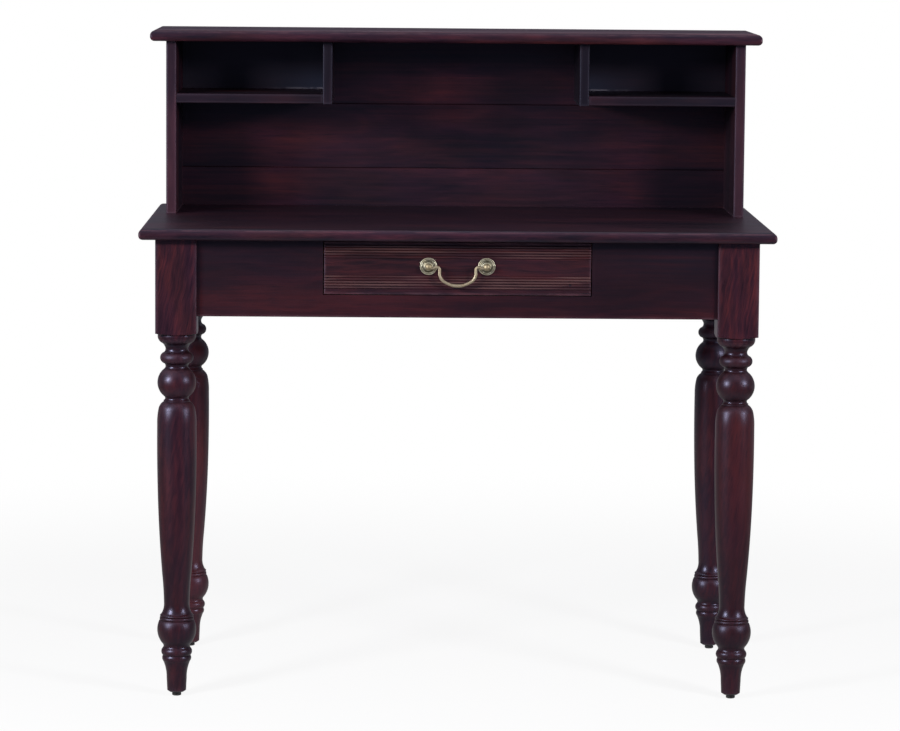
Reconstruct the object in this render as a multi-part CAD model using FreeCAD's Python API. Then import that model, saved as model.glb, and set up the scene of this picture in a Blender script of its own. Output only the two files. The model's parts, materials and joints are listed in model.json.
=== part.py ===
import FreeCAD, Part
import math
import os

# Study table: a solid wood writing desk on four turned legs, with one reeded drawer and a low hutch.
# Millimetres, +Z up, the drawer faces -Y, left is -X, and the origin is on the floor under the middle.

Vector = FreeCAD.Vector

# Overall sizes
desk_width = 1016.0
desk_depth = 559.0
desk_height = 762.0
total_height = 1067.0

# Clearances and overruns that every piece shares
joint_gap = 0.1
tenon_relief = 1.0
screw_gap = 0.05
overrun = 5.0
shortest_edge = 0.001

# Desk top
top_thickness = 18.0
top_overhang = 25.4
edge_upper_share = 0.5
edge_lower_share = 0.42
edge_rear_radius = 2.0
edge_plan_radius = 3.0

# Legs
leg_square = 66.0
leg_block_height = 154.0
leg_arris = 1.8
leg_shoulder_rise = 2.4
glide_height = 6.0
glide_radius = 7.4
glide_edge = 1.0
glide_nail_radius = 1.5
glide_nail_length = 16.0
toe_radius_share = 0.33

# Aprons
apron_height = 124.0
apron_thickness = 20.0
apron_setback = 8.0
apron_arris = 1.5
tenon_thickness = 8.0
tenon_length = 22.0
tenon_shoulder = 14.0

# Corner blocks and the screws that hold the desk top
corner_block_thickness = 22.0
corner_block_height = 40.0
top_screw_radius = 2.0
top_screw_head_radius = 4.2
top_screw_head_height = 2.6
top_screw_bite = 11.0

# Drawer front and its reeds
drawer_width = 427.0
drawer_front_thickness = 20.0
drawer_front_proud = 1.0
drawer_front_arris = 2.0
drawer_gap_side = 1.5
drawer_gap_below = 1.5
drawer_gap_above = 3.0
drawer_rail_height = 36.0
reed_count = 5
reed_pitch = 4.4
reed_depth = 1.3
reed_margin_lower = 8.5
reed_margin_upper = 4.2

# Drawer box
drawer_rear_gap = 73.2
drawer_side_thickness = 12.0
drawer_side_drop = 8.5
drawer_run_gap = 0.3
drawer_guide_gap = 1.0
drawer_kick_gap = 1.0
drawer_back_thickness = 12.0
drawer_back_inset = 10.0
drawer_back_drop = 6.0
drawer_back_housing = 4.0
drawer_bottom_thickness = 6.0
drawer_bottom_rise = 8.0
drawer_groove_depth = 6.0
dovetail_lap = 6.0
dovetail_count = 3
dovetail_width_share = 0.5
dovetail_flare_share = 0.16
bottom_pin_radius = 1.0
bottom_pin_length = 22.0
bottom_pin_head_radius = 2.2
bottom_pin_head_height = 1.0
bottom_pin_spread = 120.0

# Runners, guides, kickers and stops
runner_width = 36.0
runner_height = 24.0
runner_tenon_width = 20.0
runner_tenon_height = 12.0
runner_tenon_length = 8.0
guide_thickness = 14.0
guide_height = 34.0
kicker_width = 26.0
kicker_front_gap = 3.0
kicker_screw_inset = 60.0
kicker_screw_radius = 1.8
kicker_screw_head_radius = 3.6
kicker_screw_head_height = 2.2
kicker_screw_bite = 11.0
stop_length = 20.0
stop_height = 22.0

# Bail pull
pull_spacing = 93.0
pull_rise = 1.6
rosette_radius = 13.8
rosette_height = 5.2
rosette_boss_radius_share = 0.46
post_ball_radius = 5.6
post_neck_radius = 3.4
post_shank_radius = 2.0
post_neck_length = 0.7
bail_drop = 27.9
bail_wire_radius = 2.4
bail_pivot_drop = 2.3
bail_pivot_gap = 0.08
bail_neck_inset = 10.4
bail_shoulder_rise = 4.4
bail_shoulder_radius = 4.5
bail_arm_radius = 4.0
bail_arm_straight = 1.5
bail_knee_drop = 17.8
bail_knee_radius = 16.0
bail_grip_flat = 18.0
bail_grip_radius = 30.0
nut_width = 7.0
nut_height = 3.2
post_past_nut = 0.6

# Hutch
hutch_depth = 222.5
hutch_inset = 25.4
hutch_side_thickness = 17.0
hutch_side_arris = 2.5
hutch_top_thickness = 18.0
hutch_top_overhang = 25.4
hutch_back_thickness = 12.0
hutch_back_recess = 6.0
hutch_back_groove = 6.0
hutch_back_arris = 1.0
hutch_seam_gap = 0.4
hutch_seam_shares = (0.2131, 0.5738)
tongue_thickness = 4.0
tongue_length = 5.0
shelf_thickness = 16.0
cubby_height = 87.0
shelf_setback = 1.5
shelf_arris = 2.0
shelf_housing = 5.0
divider_spacing = 412.0
divider_thickness = 16.0
dowel_radius = 4.0
dowel_length = 30.0
dowel_bite = 12.0
dowel_chamfer = 0.8
dowel_inset = 50.0
foot_screw_radius = 2.5
foot_screw_head_radius = 4.8
foot_screw_head_height = 3.0
foot_screw_bite = 30.0

# Places worked out from the sizes above
frame_top = desk_height - top_thickness
frame_half_width = desk_width / 2 - top_overhang
frame_half_depth = desk_depth / 2 - top_overhang
leg_half = leg_square / 2
leg_x = frame_half_width - leg_half
leg_y = frame_half_depth - leg_half
turned_height = frame_top - leg_block_height
apron_bottom = frame_top - apron_height
apron_face_x = frame_half_width - apron_setback
apron_face_y = frame_half_depth - apron_setback
apron_back_x = apron_face_x - apron_thickness
apron_back_y = apron_face_y - apron_thickness

drawer_half = drawer_width / 2
drawer_face_y = -apron_face_y - drawer_front_proud
drawer_front_back_y = drawer_face_y + drawer_front_thickness
drawer_rear_y = apron_back_y - drawer_rear_gap
rail_top = apron_bottom + drawer_rail_height
drawer_front_bottom = rail_top + drawer_gap_below
drawer_front_top = frame_top - drawer_gap_above
side_bottom = rail_top + drawer_run_gap
side_top = drawer_front_top - drawer_side_drop
side_inner = drawer_half - drawer_side_thickness
bottom_low = side_bottom + drawer_bottom_rise
bottom_high = bottom_low + drawer_bottom_thickness
back_rear_y = drawer_rear_y - drawer_back_inset
back_front_y = back_rear_y - drawer_back_thickness
guide_inner = drawer_half + drawer_guide_gap
kicker_low = side_top + drawer_kick_gap
kicker_front_y = -apron_back_y + kicker_front_gap

reed_band = reed_count * reed_pitch
lower_band_bottom = drawer_front_bottom + reed_margin_lower
upper_band_bottom = drawer_front_top - reed_margin_upper - reed_band
pull_height = (lower_band_bottom + reed_band + upper_band_bottom) / 2 + pull_rise
pull_reach = rosette_height + post_neck_length + post_ball_radius
pivot_y = drawer_face_y - pull_reach
pivot_z = pull_height - bail_pivot_drop

hutch_front_y = desk_depth / 2 - hutch_depth
hutch_outer_x = desk_width / 2 - hutch_inset
hutch_inner_x = hutch_outer_x - hutch_side_thickness
hutch_under_top = total_height - hutch_top_thickness
hutch_top_front_y = hutch_front_y - hutch_top_overhang
back_boards_rear_y = desk_depth / 2 - hutch_back_recess
back_boards_front_y = back_boards_rear_y - hutch_back_thickness
shelf_bottom = hutch_under_top - cubby_height - shelf_thickness
shelf_front_y = hutch_front_y + shelf_setback
divider_inner_x = divider_spacing / 2
divider_outer_x = divider_inner_x + divider_thickness

sides = {"left": -1, "right": 1}
ends = {"front": -1, "rear": 1}

# The lathe outline of a leg from the toe up. Heights are shares of the turned height and radii are
# shares of half the square. An arc is given by its middle and its end, a line by its end.
turning_shares = (
    ("line", (0.015, 0.462)),
    ("line", (0.050, 0.493)),
    ("arc", (0.077, 0.543), (0.0965, 0.657)),
    ("arc", (0.1045, 0.714), (0.1125, 0.672)),
    ("arc", (0.1225, 0.756), (0.1335, 0.674)),
    ("line", (0.1385, 0.640)),
    ("line", (0.1435, 0.672)),
    ("arc", (0.184, 0.954), (0.2085, 0.862)),
    ("line", (0.2107, 0.810)),
    ("line", (0.2130, 0.838)),
    ("line", (0.2180, 0.826)),
    ("line", (0.2200, 0.770)),
    ("arc", (0.2225, 0.816), (0.2260, 0.770)),
    ("arc", (0.238, 0.668), (0.259, 0.625)),
    ("arc", (0.297, 0.652), (0.335, 0.706)),
    ("arc", (0.451, 0.848), (0.573, 0.932)),
    ("arc", (0.660, 0.958), (0.750, 0.957)),
    ("arc", (0.775, 0.942), (0.792, 0.896)),
    ("arc", (0.804, 0.815), (0.8122, 0.680)),
    ("line", (0.8135, 0.640)),
    ("line", (0.8172, 0.640)),
    ("arc", (0.8225, 0.570), (0.828, 0.612)),
    ("arc", (0.866, 0.942), (0.903, 0.620)),
    ("arc", (0.910, 0.550), (0.9185, 0.620)),
    ("arc", (0.934, 0.812), (0.9485, 0.630)),
    ("arc", (0.956, 0.552), (0.9655, 0.590)),
    ("arc", (0.9705, 0.645), (0.9745, 0.730)),
    ("arc", (0.983, 0.8845), (0.9975, 0.928)),
    ("line", (1.000, 1.000)),
)

# The half section of a rosette from its rim in: shares of its height and of its radius
rosette_shares = (
    ("line", (0.20, 1.00)),
    ("arc", (0.62, 0.90), (0.42, 0.76)),
    ("line", (0.36, 0.70)),
    ("arc", (0.60, 0.56), (1.00, rosette_boss_radius_share)),
)


def save(shape, node):
    shape.exportStep("parts/" + node + ".step")


def placed(point, plane, level):
    """A point of a flat outline in space: the plane is named by the axis square to it."""
    u, v = point
    if plane == "X":
        return Vector(level, u, v)
    if plane == "Y":
        return Vector(v, level, u)
    return Vector(u, v, level)


def corner_cut(before, corner, after, radius):
    """Where a rounded corner starts, its middle and where it ends."""
    toward = (before - corner).normalize()
    away = (after - corner).normalize()
    half = toward.getAngle(away) / 2
    reach = radius / math.tan(half)
    middle = (toward + away).normalize() * (radius / math.sin(half) - radius)
    return corner + toward * reach, corner + middle, corner + away * reach


def rounded_edges(points, radii, closed):
    """Lines with tangent arcs at the corners that have a radius."""
    count = len(points)
    inner = range(count) if closed else range(1, count - 1)
    starts = list(points)
    finishes = list(points)
    arcs = {}
    for i in inner:
        if radii[i] > 0:
            cut = corner_cut(points[i - 1], points[i], points[(i + 1) % count], radii[i])
            starts[i], middle, finishes[i] = cut
            arcs[i] = Part.Arc(starts[i], middle, finishes[i]).toShape()
    edges = []
    for i in range(count):
        if i in arcs:
            edges.append(arcs[i])
        last = not closed and i == count - 1
        following = starts[(i + 1) % count]
        if not last and (following - finishes[i]).Length > shortest_edge:
            edges.append(Part.LineSegment(finishes[i], following).toShape())
    return edges


def prism(outline, radii, along, low, high):
    """A flat outline with rounded corners, carried along an axis from low to high."""
    points = [placed(p, along, low) for p in outline]
    face = Part.Face(Part.Wire(rounded_edges(points, radii, True)))
    return face.extrude(placed((0, 0), along, high - low))


def bar(low, high, along="Z", radii=(0, 0, 0, 0)):
    """A straight bar between two corners; radii round its four long edges in turn."""
    if along == "X":
        u0, v0, u1, v1, start, finish = low[1], low[2], high[1], high[2], low[0], high[0]
    elif along == "Y":
        u0, v0, u1, v1, start, finish = low[2], low[0], high[2], high[0], low[1], high[1]
    else:
        u0, v0, u1, v1, start, finish = low[0], low[1], high[0], high[1], low[2], high[2]
    return prism(((u0, v0), (u1, v0), (u1, v1), (u0, v1)), radii, along, start, finish)


def turned(rows, radius, height, start, axis_foot, axis):
    """A solid turned about an axis; rows hold arcs and lines as shares of a height and a radius."""
    across = Vector(1, 0, 0)

    def spot(h, r):
        return axis_foot + axis * h + across * r

    first = spot(start[0], 0)
    here = spot(*start)
    edges = [Part.LineSegment(first, here).toShape()]
    for row in rows:
        marks = [spot(h * height, r * radius) for h, r in row[1:]]
        if row[0] == "arc":
            edges.append(Part.Arc(here, marks[0], marks[1]).toShape())
        else:
            edges.append(Part.LineSegment(here, marks[0]).toShape())
        here = marks[-1]
    last = spot(rows[-1][-1][0] * height, 0)
    edges.append(Part.LineSegment(here, last).toShape())
    edges.append(Part.LineSegment(last, first).toShape())
    return Part.Face(Part.Wire(edges)).revolve(axis_foot, axis, 360)


def rod(radius, length, foot, axis):
    return Part.makeCylinder(radius, length, foot, axis)


def screw(radius, length, head_radius, head_height, foot, axis, gap=0.0):
    """A countersunk screw from the face of its head along its axis, or its hole with a gap."""
    shank = rod(radius + gap, length + gap, foot, axis)
    sink_end = radius + gap
    head = Part.makeCone(head_radius + gap, sink_end, head_height + gap, foot, axis)
    return shank.fuse(head)


def moulded_top(half_width, front_y, rear_y, low_z, high_z):
    """A top with its moulded edge on the front and the ends, mitred at the corners."""
    low = (-half_width, front_y, low_z)
    high = (half_width, rear_y, high_z)
    upper = edge_upper_share * (high_z - low_z)
    lower = edge_lower_share * (high_z - low_z)
    ends_round = (lower, upper, upper, lower)
    front_round = (lower, edge_rear_radius, edge_rear_radius, upper)
    plan_round = (edge_plan_radius, edge_plan_radius, edge_rear_radius, edge_rear_radius)
    board = bar(low, high, "Y", ends_round)
    board = board.common(bar(low, high, "X", front_round))
    return board.common(bar(low, high, "Z", plan_round))


# Screws, dowels and pins: each list holds foot, axis pairs that the pieces and their holes share

def top_screw_places():
    """One screw up through the middle of each corner block."""
    inset = leg_square + corner_block_thickness * math.sqrt(2) / 4
    x = frame_half_width - inset
    y = frame_half_depth - inset
    low = frame_top - corner_block_height
    return [Vector(sx * x, sy * y, low) for sx in (-1, 1) for sy in (-1, 1)]


def top_screws(gap=0.0):
    length = corner_block_height + top_screw_bite
    head = (top_screw_head_radius, top_screw_head_height)
    return [screw(top_screw_radius, length, *head, foot, Vector(0, 0, 1), gap)
            for foot in top_screw_places()]


def kicker_screws(gap=0.0):
    """Two screws up through each kicker into the desk top."""
    length = frame_top - kicker_low + kicker_screw_bite
    head = (kicker_screw_head_radius, kicker_screw_head_height)
    middle = drawer_half - drawer_side_thickness / 2
    rows = (kicker_front_y + kicker_screw_inset, apron_back_y - kicker_screw_inset)
    return [screw(kicker_screw_radius, length, *head, Vector(sx * middle, y, kicker_low),
                  Vector(0, 0, 1), gap) for sx in (-1, 1) for y in rows]


def foot_screws(gap=0.0):
    """Two screws up through the desk top into each hutch side."""
    length = top_thickness + foot_screw_bite
    head = (foot_screw_head_radius, foot_screw_head_height)
    middle = hutch_outer_x - hutch_side_thickness / 2
    rows = (hutch_front_y + dowel_inset, desk_depth / 2 - dowel_inset)
    return [screw(foot_screw_radius, length, *head, Vector(sx * middle, y, frame_top),
                  Vector(0, 0, 1), gap) for sx in (-1, 1) for y in rows]


def dowel(foot, axis, gap=0.0):
    """A dowel with chamfered ends, or its hole with a gap."""
    pin = rod(dowel_radius + gap, dowel_length + 2 * gap, foot - axis * gap, axis)
    if gap > 0:
        return pin
    rims = [e for e in pin.Edges if e.Curve.TypeId == "Part::GeomCircle"]
    return pin.makeChamfer(dowel_chamfer, rims)


def hutch_dowels(gap=0.0):
    """Dowels from the sides and dividers up into the hutch top, and from the dividers into the shelves."""
    up = Vector(0, 0, 1)
    side_x = hutch_outer_x - hutch_side_thickness / 2
    divider_x = divider_inner_x + divider_thickness / 2
    rows = (hutch_front_y + dowel_inset, desk_depth / 2 - dowel_inset)
    top_foot = hutch_under_top + dowel_bite - dowel_length
    shelf_z = shelf_bottom + shelf_thickness / 2
    dowels = []
    for sx in (-1, 1):
        for y in rows:
            dowels.append(dowel(Vector(sx * side_x, y, top_foot), up, gap))
            dowels.append(dowel(Vector(sx * divider_x, y, top_foot), up, gap))
            foot_x = sx * (divider_outer_x - dowel_bite)
            dowels.append(dowel(Vector(foot_x, y, shelf_z), Vector(sx, 0, 0), gap))
    return dowels


def bottom_pins(gap=0.0):
    """Nails up through the drawer bottom into the back."""
    y = (back_front_y + back_rear_y) / 2
    low = bottom_low - bottom_pin_head_height
    pins = []
    for x in (-bottom_pin_spread, 0, bottom_pin_spread):
        foot = Vector(x, y, low)
        shank = rod(bottom_pin_radius + gap, bottom_pin_length + gap, foot, Vector(0, 0, 1))
        if gap == 0:
            head = rod(bottom_pin_head_radius, bottom_pin_head_height, foot, Vector(0, 0, 1))
            shank = shank.fuse(head)
        pins.append(shank)
    return pins


# Desk top, legs and aprons

def desk_top():
    board = moulded_top(desk_width / 2, -desk_depth / 2, desk_depth / 2, frame_top, desk_height)
    return board.cut(top_screws(screw_gap) + kicker_screws(screw_gap) + foot_screws(screw_gap))


def glide_nail(gap=0.0):
    return rod(glide_nail_radius + gap, glide_height + glide_nail_length + gap,
               Vector(0, 0, glide_edge), Vector(0, 0, 1))


def leg_turning():
    """The lathe outline meets the square in a rounded shoulder above it."""
    diagonal_share = math.sqrt(2) + overrun / leg_half
    shoulder = 1 + leg_shoulder_rise / turned_height
    block = (("line", (shoulder, math.sqrt(2))),
             ("line", (shoulder, diagonal_share)),
             ("line", (frame_top / turned_height, diagonal_share)))
    start = (glide_height, toe_radius_share * leg_half)
    return turned(turning_shares + block, leg_half, turned_height, start,
                  Vector(0, 0, 0), Vector(0, 0, 1))


def leg_blank():
    square = bar((-leg_half, -leg_half, 0), (leg_half, leg_half, frame_top), "Z", (leg_arris,) * 4)
    return square.common(leg_turning()).cut(glide_nail(screw_gap))


def tenon_box(low, high, axis, gap):
    """A tenon or its mortise: the mortise is wider by a gap and deeper by the relief."""
    grow = [gap, gap, gap]
    grow[axis] = tenon_relief if gap > 0 else 0.0
    return bar([v - g for v, g in zip(low, grow)], [v + g for v, g in zip(high, grow)])


def apron_tenons(face, gap=0.0):
    """The two tenons of the front or rear apron (face Y) or of a side apron (face X)."""
    low_z = apron_bottom + tenon_shoulder
    high_z = frame_top - tenon_shoulder
    boxes = []
    for s in (-1, 1):
        if face == "Y":
            near = frame_half_width - leg_square
            middle = apron_face_y - apron_thickness / 2
            span = sorted((s * near, s * (near + tenon_length)))
            low = (span[0], middle - tenon_thickness / 2, low_z)
            high = (span[1], middle + tenon_thickness / 2, high_z)
            boxes.append(tenon_box(low, high, 0, gap))
        else:
            near = frame_half_depth - leg_square
            middle = apron_face_x - apron_thickness / 2
            span = sorted((s * near, s * (near + tenon_length)))
            low = (middle - tenon_thickness / 2, span[0], low_z)
            high = (middle + tenon_thickness / 2, span[1], high_z)
            boxes.append(tenon_box(low, high, 1, gap))
    return boxes


def mirrored_y(shapes):
    return [shape.mirror(Vector(0, 0, 0), Vector(0, 1, 0)) for shape in shapes]


def mirrored_x(shapes):
    return [shape.mirror(Vector(0, 0, 0), Vector(1, 0, 0)) for shape in shapes]


def legs():
    blank = leg_blank()
    rear_mortises = apron_tenons("Y", joint_gap)
    right_mortises = apron_tenons("X", joint_gap)
    for end, sy in ends.items():
        for side, sx in sides.items():
            leg = blank.copy()
            leg.translate(Vector(sx * leg_x, sy * leg_y, 0))
            along_x = rear_mortises if sy > 0 else mirrored_y(rear_mortises)
            along_y = right_mortises if sx > 0 else mirrored_x(right_mortises)
            save(leg.cut(along_x + along_y), "leg_" + end + "_" + side)


def foot_glides():
    disc = rod(glide_radius, glide_height, Vector(0, 0, 0), Vector(0, 0, 1))
    rim = [e for e in disc.Edges if e.BoundBox.ZMax < glide_height / 2 and e.Closed]
    glide = disc.makeFillet(glide_edge, rim).fuse(glide_nail())
    for end, sy in ends.items():
        for side, sx in sides.items():
            copy = glide.copy()
            copy.translate(Vector(sx * leg_x, sy * leg_y, 0))
            save(copy, "foot_glide_" + end + "_" + side)


def runner_box(sx, low_y, high_y):
    inner = guide_inner + guide_thickness - runner_width
    span = sorted((sx * inner, sx * (inner + runner_width)))
    return bar((span[0], low_y, rail_top - runner_height), (span[1], high_y, rail_top))


def runner_tenons(sx, gap=0.0):
    """Stub tenons of a runner into the back of the front rail and into the rear apron."""
    centre = guide_inner + guide_thickness - runner_width / 2
    middle_z = rail_top - runner_height / 2
    tenons = []
    for sy in (-1, 1):
        span = sorted((sy * apron_back_y, sy * (apron_back_y + runner_tenon_length)))
        low = (sx * centre - runner_tenon_width / 2, span[0], middle_z - runner_tenon_height / 2)
        high = (sx * centre + runner_tenon_width / 2, span[1], middle_z + runner_tenon_height / 2)
        tenons.append(tenon_box(low, high, 1, gap))
    return tenons


def drawer_opening():
    """The space cut out of the front apron, open at the top."""
    half = drawer_half + drawer_gap_side
    return bar((-half, -apron_face_y - overrun, rail_top),
               (half, -apron_back_y + overrun, frame_top + overrun))


def wide_apron(sy):
    """The front or rear apron between the leg blocks."""
    half = frame_half_width - leg_square
    span = sorted((sy * apron_back_y, sy * apron_face_y))
    outer = (apron_arris, 0, 0, 0) if sy < 0 else (0, apron_arris, 0, 0)
    board = bar((-half, span[0], apron_bottom), (half, span[1], frame_top), "X", outer)
    tenons = apron_tenons("Y")
    board = board.fuse(tenons if sy > 0 else mirrored_y(tenons))
    return board.cut(runner_tenons(-1, joint_gap) + runner_tenons(1, joint_gap))


def side_apron(sx):
    half = frame_half_depth - leg_square
    span = sorted((sx * apron_back_x, sx * apron_face_x))
    outer = (0, 0, 0, apron_arris) if sx > 0 else (apron_arris, 0, 0, 0)
    board = bar((span[0], -half, apron_bottom), (span[1], half, frame_top), "Y", outer)
    tenons = apron_tenons("X")
    return board.fuse(tenons if sx > 0 else mirrored_x(tenons))


def aprons():
    save(wide_apron(-1).cut(drawer_opening()).removeSplitter(), "front_apron")
    save(wide_apron(1).removeSplitter(), "rear_apron")
    for side, sx in sides.items():
        save(side_apron(sx).removeSplitter(), side + "_apron")


def corner_blocks():
    """A mitred block across each inside corner, bearing on two aprons behind the leg."""
    wide = corner_block_thickness * math.sqrt(2)
    corner_x = frame_half_width - leg_square
    corner_y = frame_half_depth - leg_square
    run_x = apron_back_x - corner_x
    run_y = apron_back_y - corner_y
    outline = ((corner_x - run_y, apron_back_y),
               (corner_x - run_y - wide, apron_back_y),
               (apron_back_x, corner_y - run_x - wide),
               (apron_back_x, corner_y - run_x))
    block = prism(outline, (0, 0, 0, 0), "Z", frame_top - corner_block_height, frame_top)
    holes = top_screws(screw_gap)
    for end, sy in ends.items():
        for side, sx in sides.items():
            copy = block
            if sx < 0:
                copy = mirrored_x([copy])[0]
            if sy < 0:
                copy = mirrored_y([copy])[0]
            save(copy.cut(holes), "corner_block_" + end + "_" + side)


# Drawer and what carries it

def runners():
    for side, sx in sides.items():
        runner = runner_box(sx, -apron_back_y, apron_back_y).fuse(runner_tenons(sx))
        save(runner.removeSplitter(), "drawer_runner_" + side)
        span = sorted((sx * guide_inner, sx * (guide_inner + guide_thickness)))
        guide = bar((span[0], -apron_back_y, rail_top),
                    (span[1], apron_back_y, rail_top + guide_height))
        save(guide, "drawer_guide_" + side)


def kickers():
    middle = drawer_half - drawer_side_thickness / 2
    for side, sx in sides.items():
        span = sorted((sx * (middle - kicker_width / 2), sx * (middle + kicker_width / 2)))
        kicker = bar((span[0], kicker_front_y, kicker_low), (span[1], apron_back_y, frame_top))
        save(kicker.cut(kicker_screws(screw_gap)), "drawer_kicker_" + side)


def drawer_stops():
    """A block on each runner that the closed drawer's side comes up against."""
    stops = []
    for sx in (-1, 1):
        span = sorted((sx * side_inner, sx * drawer_half))
        low_y = drawer_rear_y + drawer_run_gap
        stops.append(bar((span[0], low_y, rail_top),
                         (span[1], low_y + stop_length, rail_top + stop_height)))
    save(Part.makeCompound(stops), "drawer_stops")


def dovetails(sx, gap=0.0):
    """Tails on the front end of a drawer side, or their sockets with a gap."""
    pitch = (side_top - side_bottom) / dovetail_count
    half = pitch * dovetail_width_share / 2
    flare = pitch * dovetail_flare_share
    tip_y = drawer_face_y + dovetail_lap - gap
    base_y = drawer_front_back_y
    inner = side_inner - gap
    outer = drawer_half + (overrun if gap > 0 else 0)
    span = sorted((sx * inner, sx * outer))
    tails = []
    for i in range(dovetail_count):
        middle = side_bottom + pitch * (i + 0.5)
        outline = ((base_y, middle - half - gap), (base_y, middle + half + gap),
                   (tip_y, middle + half + flare + gap), (tip_y, middle - half - flare - gap))
        tails.append(prism(outline, (0, 0, 0, 0), "X", span[0], span[1]))
    return tails


def bottom_groove(gap):
    """The drawer bottom, or with a gap the groove that it slides in from the rear."""
    half = side_inner + drawer_groove_depth - joint_gap + gap
    front = drawer_front_back_y - drawer_groove_depth + joint_gap - gap
    rear = back_rear_y if gap == 0 else drawer_rear_y + overrun
    return bar((-half, front, bottom_low - gap), (half, rear, bottom_high + gap))


def reed_section():
    """The drawer front's end section: a flat board whose face has two bands of half-round reeds."""
    low = placed((drawer_face_y, drawer_front_bottom), "X", -drawer_half)
    corner_back_low = placed((drawer_front_back_y, drawer_front_bottom), "X", -drawer_half)
    corner_back_high = placed((drawer_front_back_y, drawer_front_top), "X", -drawer_half)
    high = placed((drawer_face_y, drawer_front_top), "X", -drawer_half)
    bed_y = drawer_face_y + reed_depth
    edges = [Part.LineSegment(high, corner_back_high).toShape(),
             Part.LineSegment(corner_back_high, corner_back_low).toShape(),
             Part.LineSegment(corner_back_low, low).toShape()]
    here = low
    for band in (lower_band_bottom, upper_band_bottom):
        shoulder = placed((drawer_face_y, band), "X", -drawer_half)
        bed = placed((bed_y, band), "X", -drawer_half)
        edges.append(Part.LineSegment(here, shoulder).toShape())
        edges.append(Part.LineSegment(shoulder, bed).toShape())
        for i in range(reed_count):
            crest = placed((drawer_face_y, band + reed_pitch * (i + 0.5)), "X", -drawer_half)
            valley = placed((bed_y, band + reed_pitch * (i + 1)), "X", -drawer_half)
            edges.append(Part.Arc(bed, crest, valley).toShape())
            bed = valley
        here = placed((drawer_face_y, band + reed_band), "X", -drawer_half)
        edges.append(Part.LineSegment(bed, here).toShape())
    edges.append(Part.LineSegment(here, high).toShape())
    return Part.Wire(edges)


def pull_holes():
    foot_y = drawer_face_y - overrun
    length = drawer_front_thickness + 2 * overrun
    return [rod(post_shank_radius + screw_gap, length, Vector(s * pull_spacing / 2, foot_y, pull_height),
                Vector(0, 1, 0)) for s in (-1, 1)]


def drawer_front():
    front = Part.Face(reed_section()).extrude(Vector(drawer_width, 0, 0))
    low = (-drawer_half, drawer_face_y, drawer_front_bottom)
    high = (drawer_half, drawer_front_back_y, drawer_front_top)
    front = front.common(bar(low, high, "Z", (drawer_front_arris, drawer_front_arris, 0, 0)))
    sockets = dovetails(-1, joint_gap) + dovetails(1, joint_gap)
    return front.cut(sockets + [bottom_groove(joint_gap)] + pull_holes())


def drawer_side(sx):
    span = sorted((sx * side_inner, sx * drawer_half))
    board = bar((span[0], drawer_front_back_y, side_bottom), (span[1], drawer_rear_y, side_top))
    board = board.fuse(dovetails(sx))
    housing = bar((-side_inner - drawer_back_housing, back_front_y - joint_gap, bottom_high),
                  (side_inner + drawer_back_housing, back_rear_y + joint_gap, side_top + overrun))
    return board.cut([housing, bottom_groove(joint_gap)]).removeSplitter()


def drawer_back():
    half = side_inner + drawer_back_housing - joint_gap
    board = bar((-half, back_front_y, bottom_high), (half, back_rear_y, side_top - drawer_back_drop))
    return board.cut(bottom_pins(screw_gap))


def drawer():
    save(drawer_front(), "drawer_front")
    for side, sx in sides.items():
        save(drawer_side(sx), "drawer_side_" + side)
    save(drawer_back(), "drawer_back")
    save(bottom_groove(0).cut(bottom_pins(screw_gap)), "drawer_bottom")
    save(Part.makeCompound(bottom_pins()), "drawer_bottom_pins")


# Bail pull

def rosette(x):
    centre = Vector(x, drawer_face_y, pull_height)
    plate = turned(rosette_shares, rosette_radius, rosette_height, (0, rosette_radius),
                   centre, Vector(0, -1, 0))
    hole = rod(post_shank_radius + screw_gap, rosette_height + 2 * overrun,
               centre + Vector(0, overrun, 0), Vector(0, -1, 0))
    return plate.cut(hole)


def post(x):
    """A ball-headed bolt through the rosette and the drawer front, cross-bored for the bail."""
    out = Vector(0, -1, 0)
    ball = Part.makeSphere(post_ball_radius, Vector(x, pivot_y, pull_height))
    neck = rod(post_neck_radius, pull_reach - rosette_height,
               Vector(x, drawer_face_y - rosette_height, pull_height), out)
    shank_length = drawer_front_thickness + nut_height + post_past_nut
    shank = rod(post_shank_radius, shank_length + rosette_height,
                Vector(x, drawer_face_y + shank_length, pull_height), out)
    bore = rod(bail_wire_radius + bail_pivot_gap, 2 * (post_ball_radius + overrun),
               Vector(x - post_ball_radius - overrun, pivot_y, pivot_z), Vector(1, 0, 0))
    return ball.fuse([neck, shank]).cut(bore)


def nut(x):
    """A six-sided nut drawn up on the inside of the drawer front."""
    foot = Vector(x, drawer_front_back_y, pull_height)
    reach = nut_width / math.sqrt(3)
    corners = []
    for i in range(6):
        angle = math.radians(60 * i)
        corners.append(foot + Vector(reach * math.cos(angle), 0, reach * math.sin(angle)))
    body = Part.Face(Part.makePolygon(corners + corners[:1])).extrude(Vector(0, nut_height, 0))
    return body.cut(rod(post_shank_radius + screw_gap, 2 * overrun, foot, Vector(0, 1, 0)))


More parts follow.
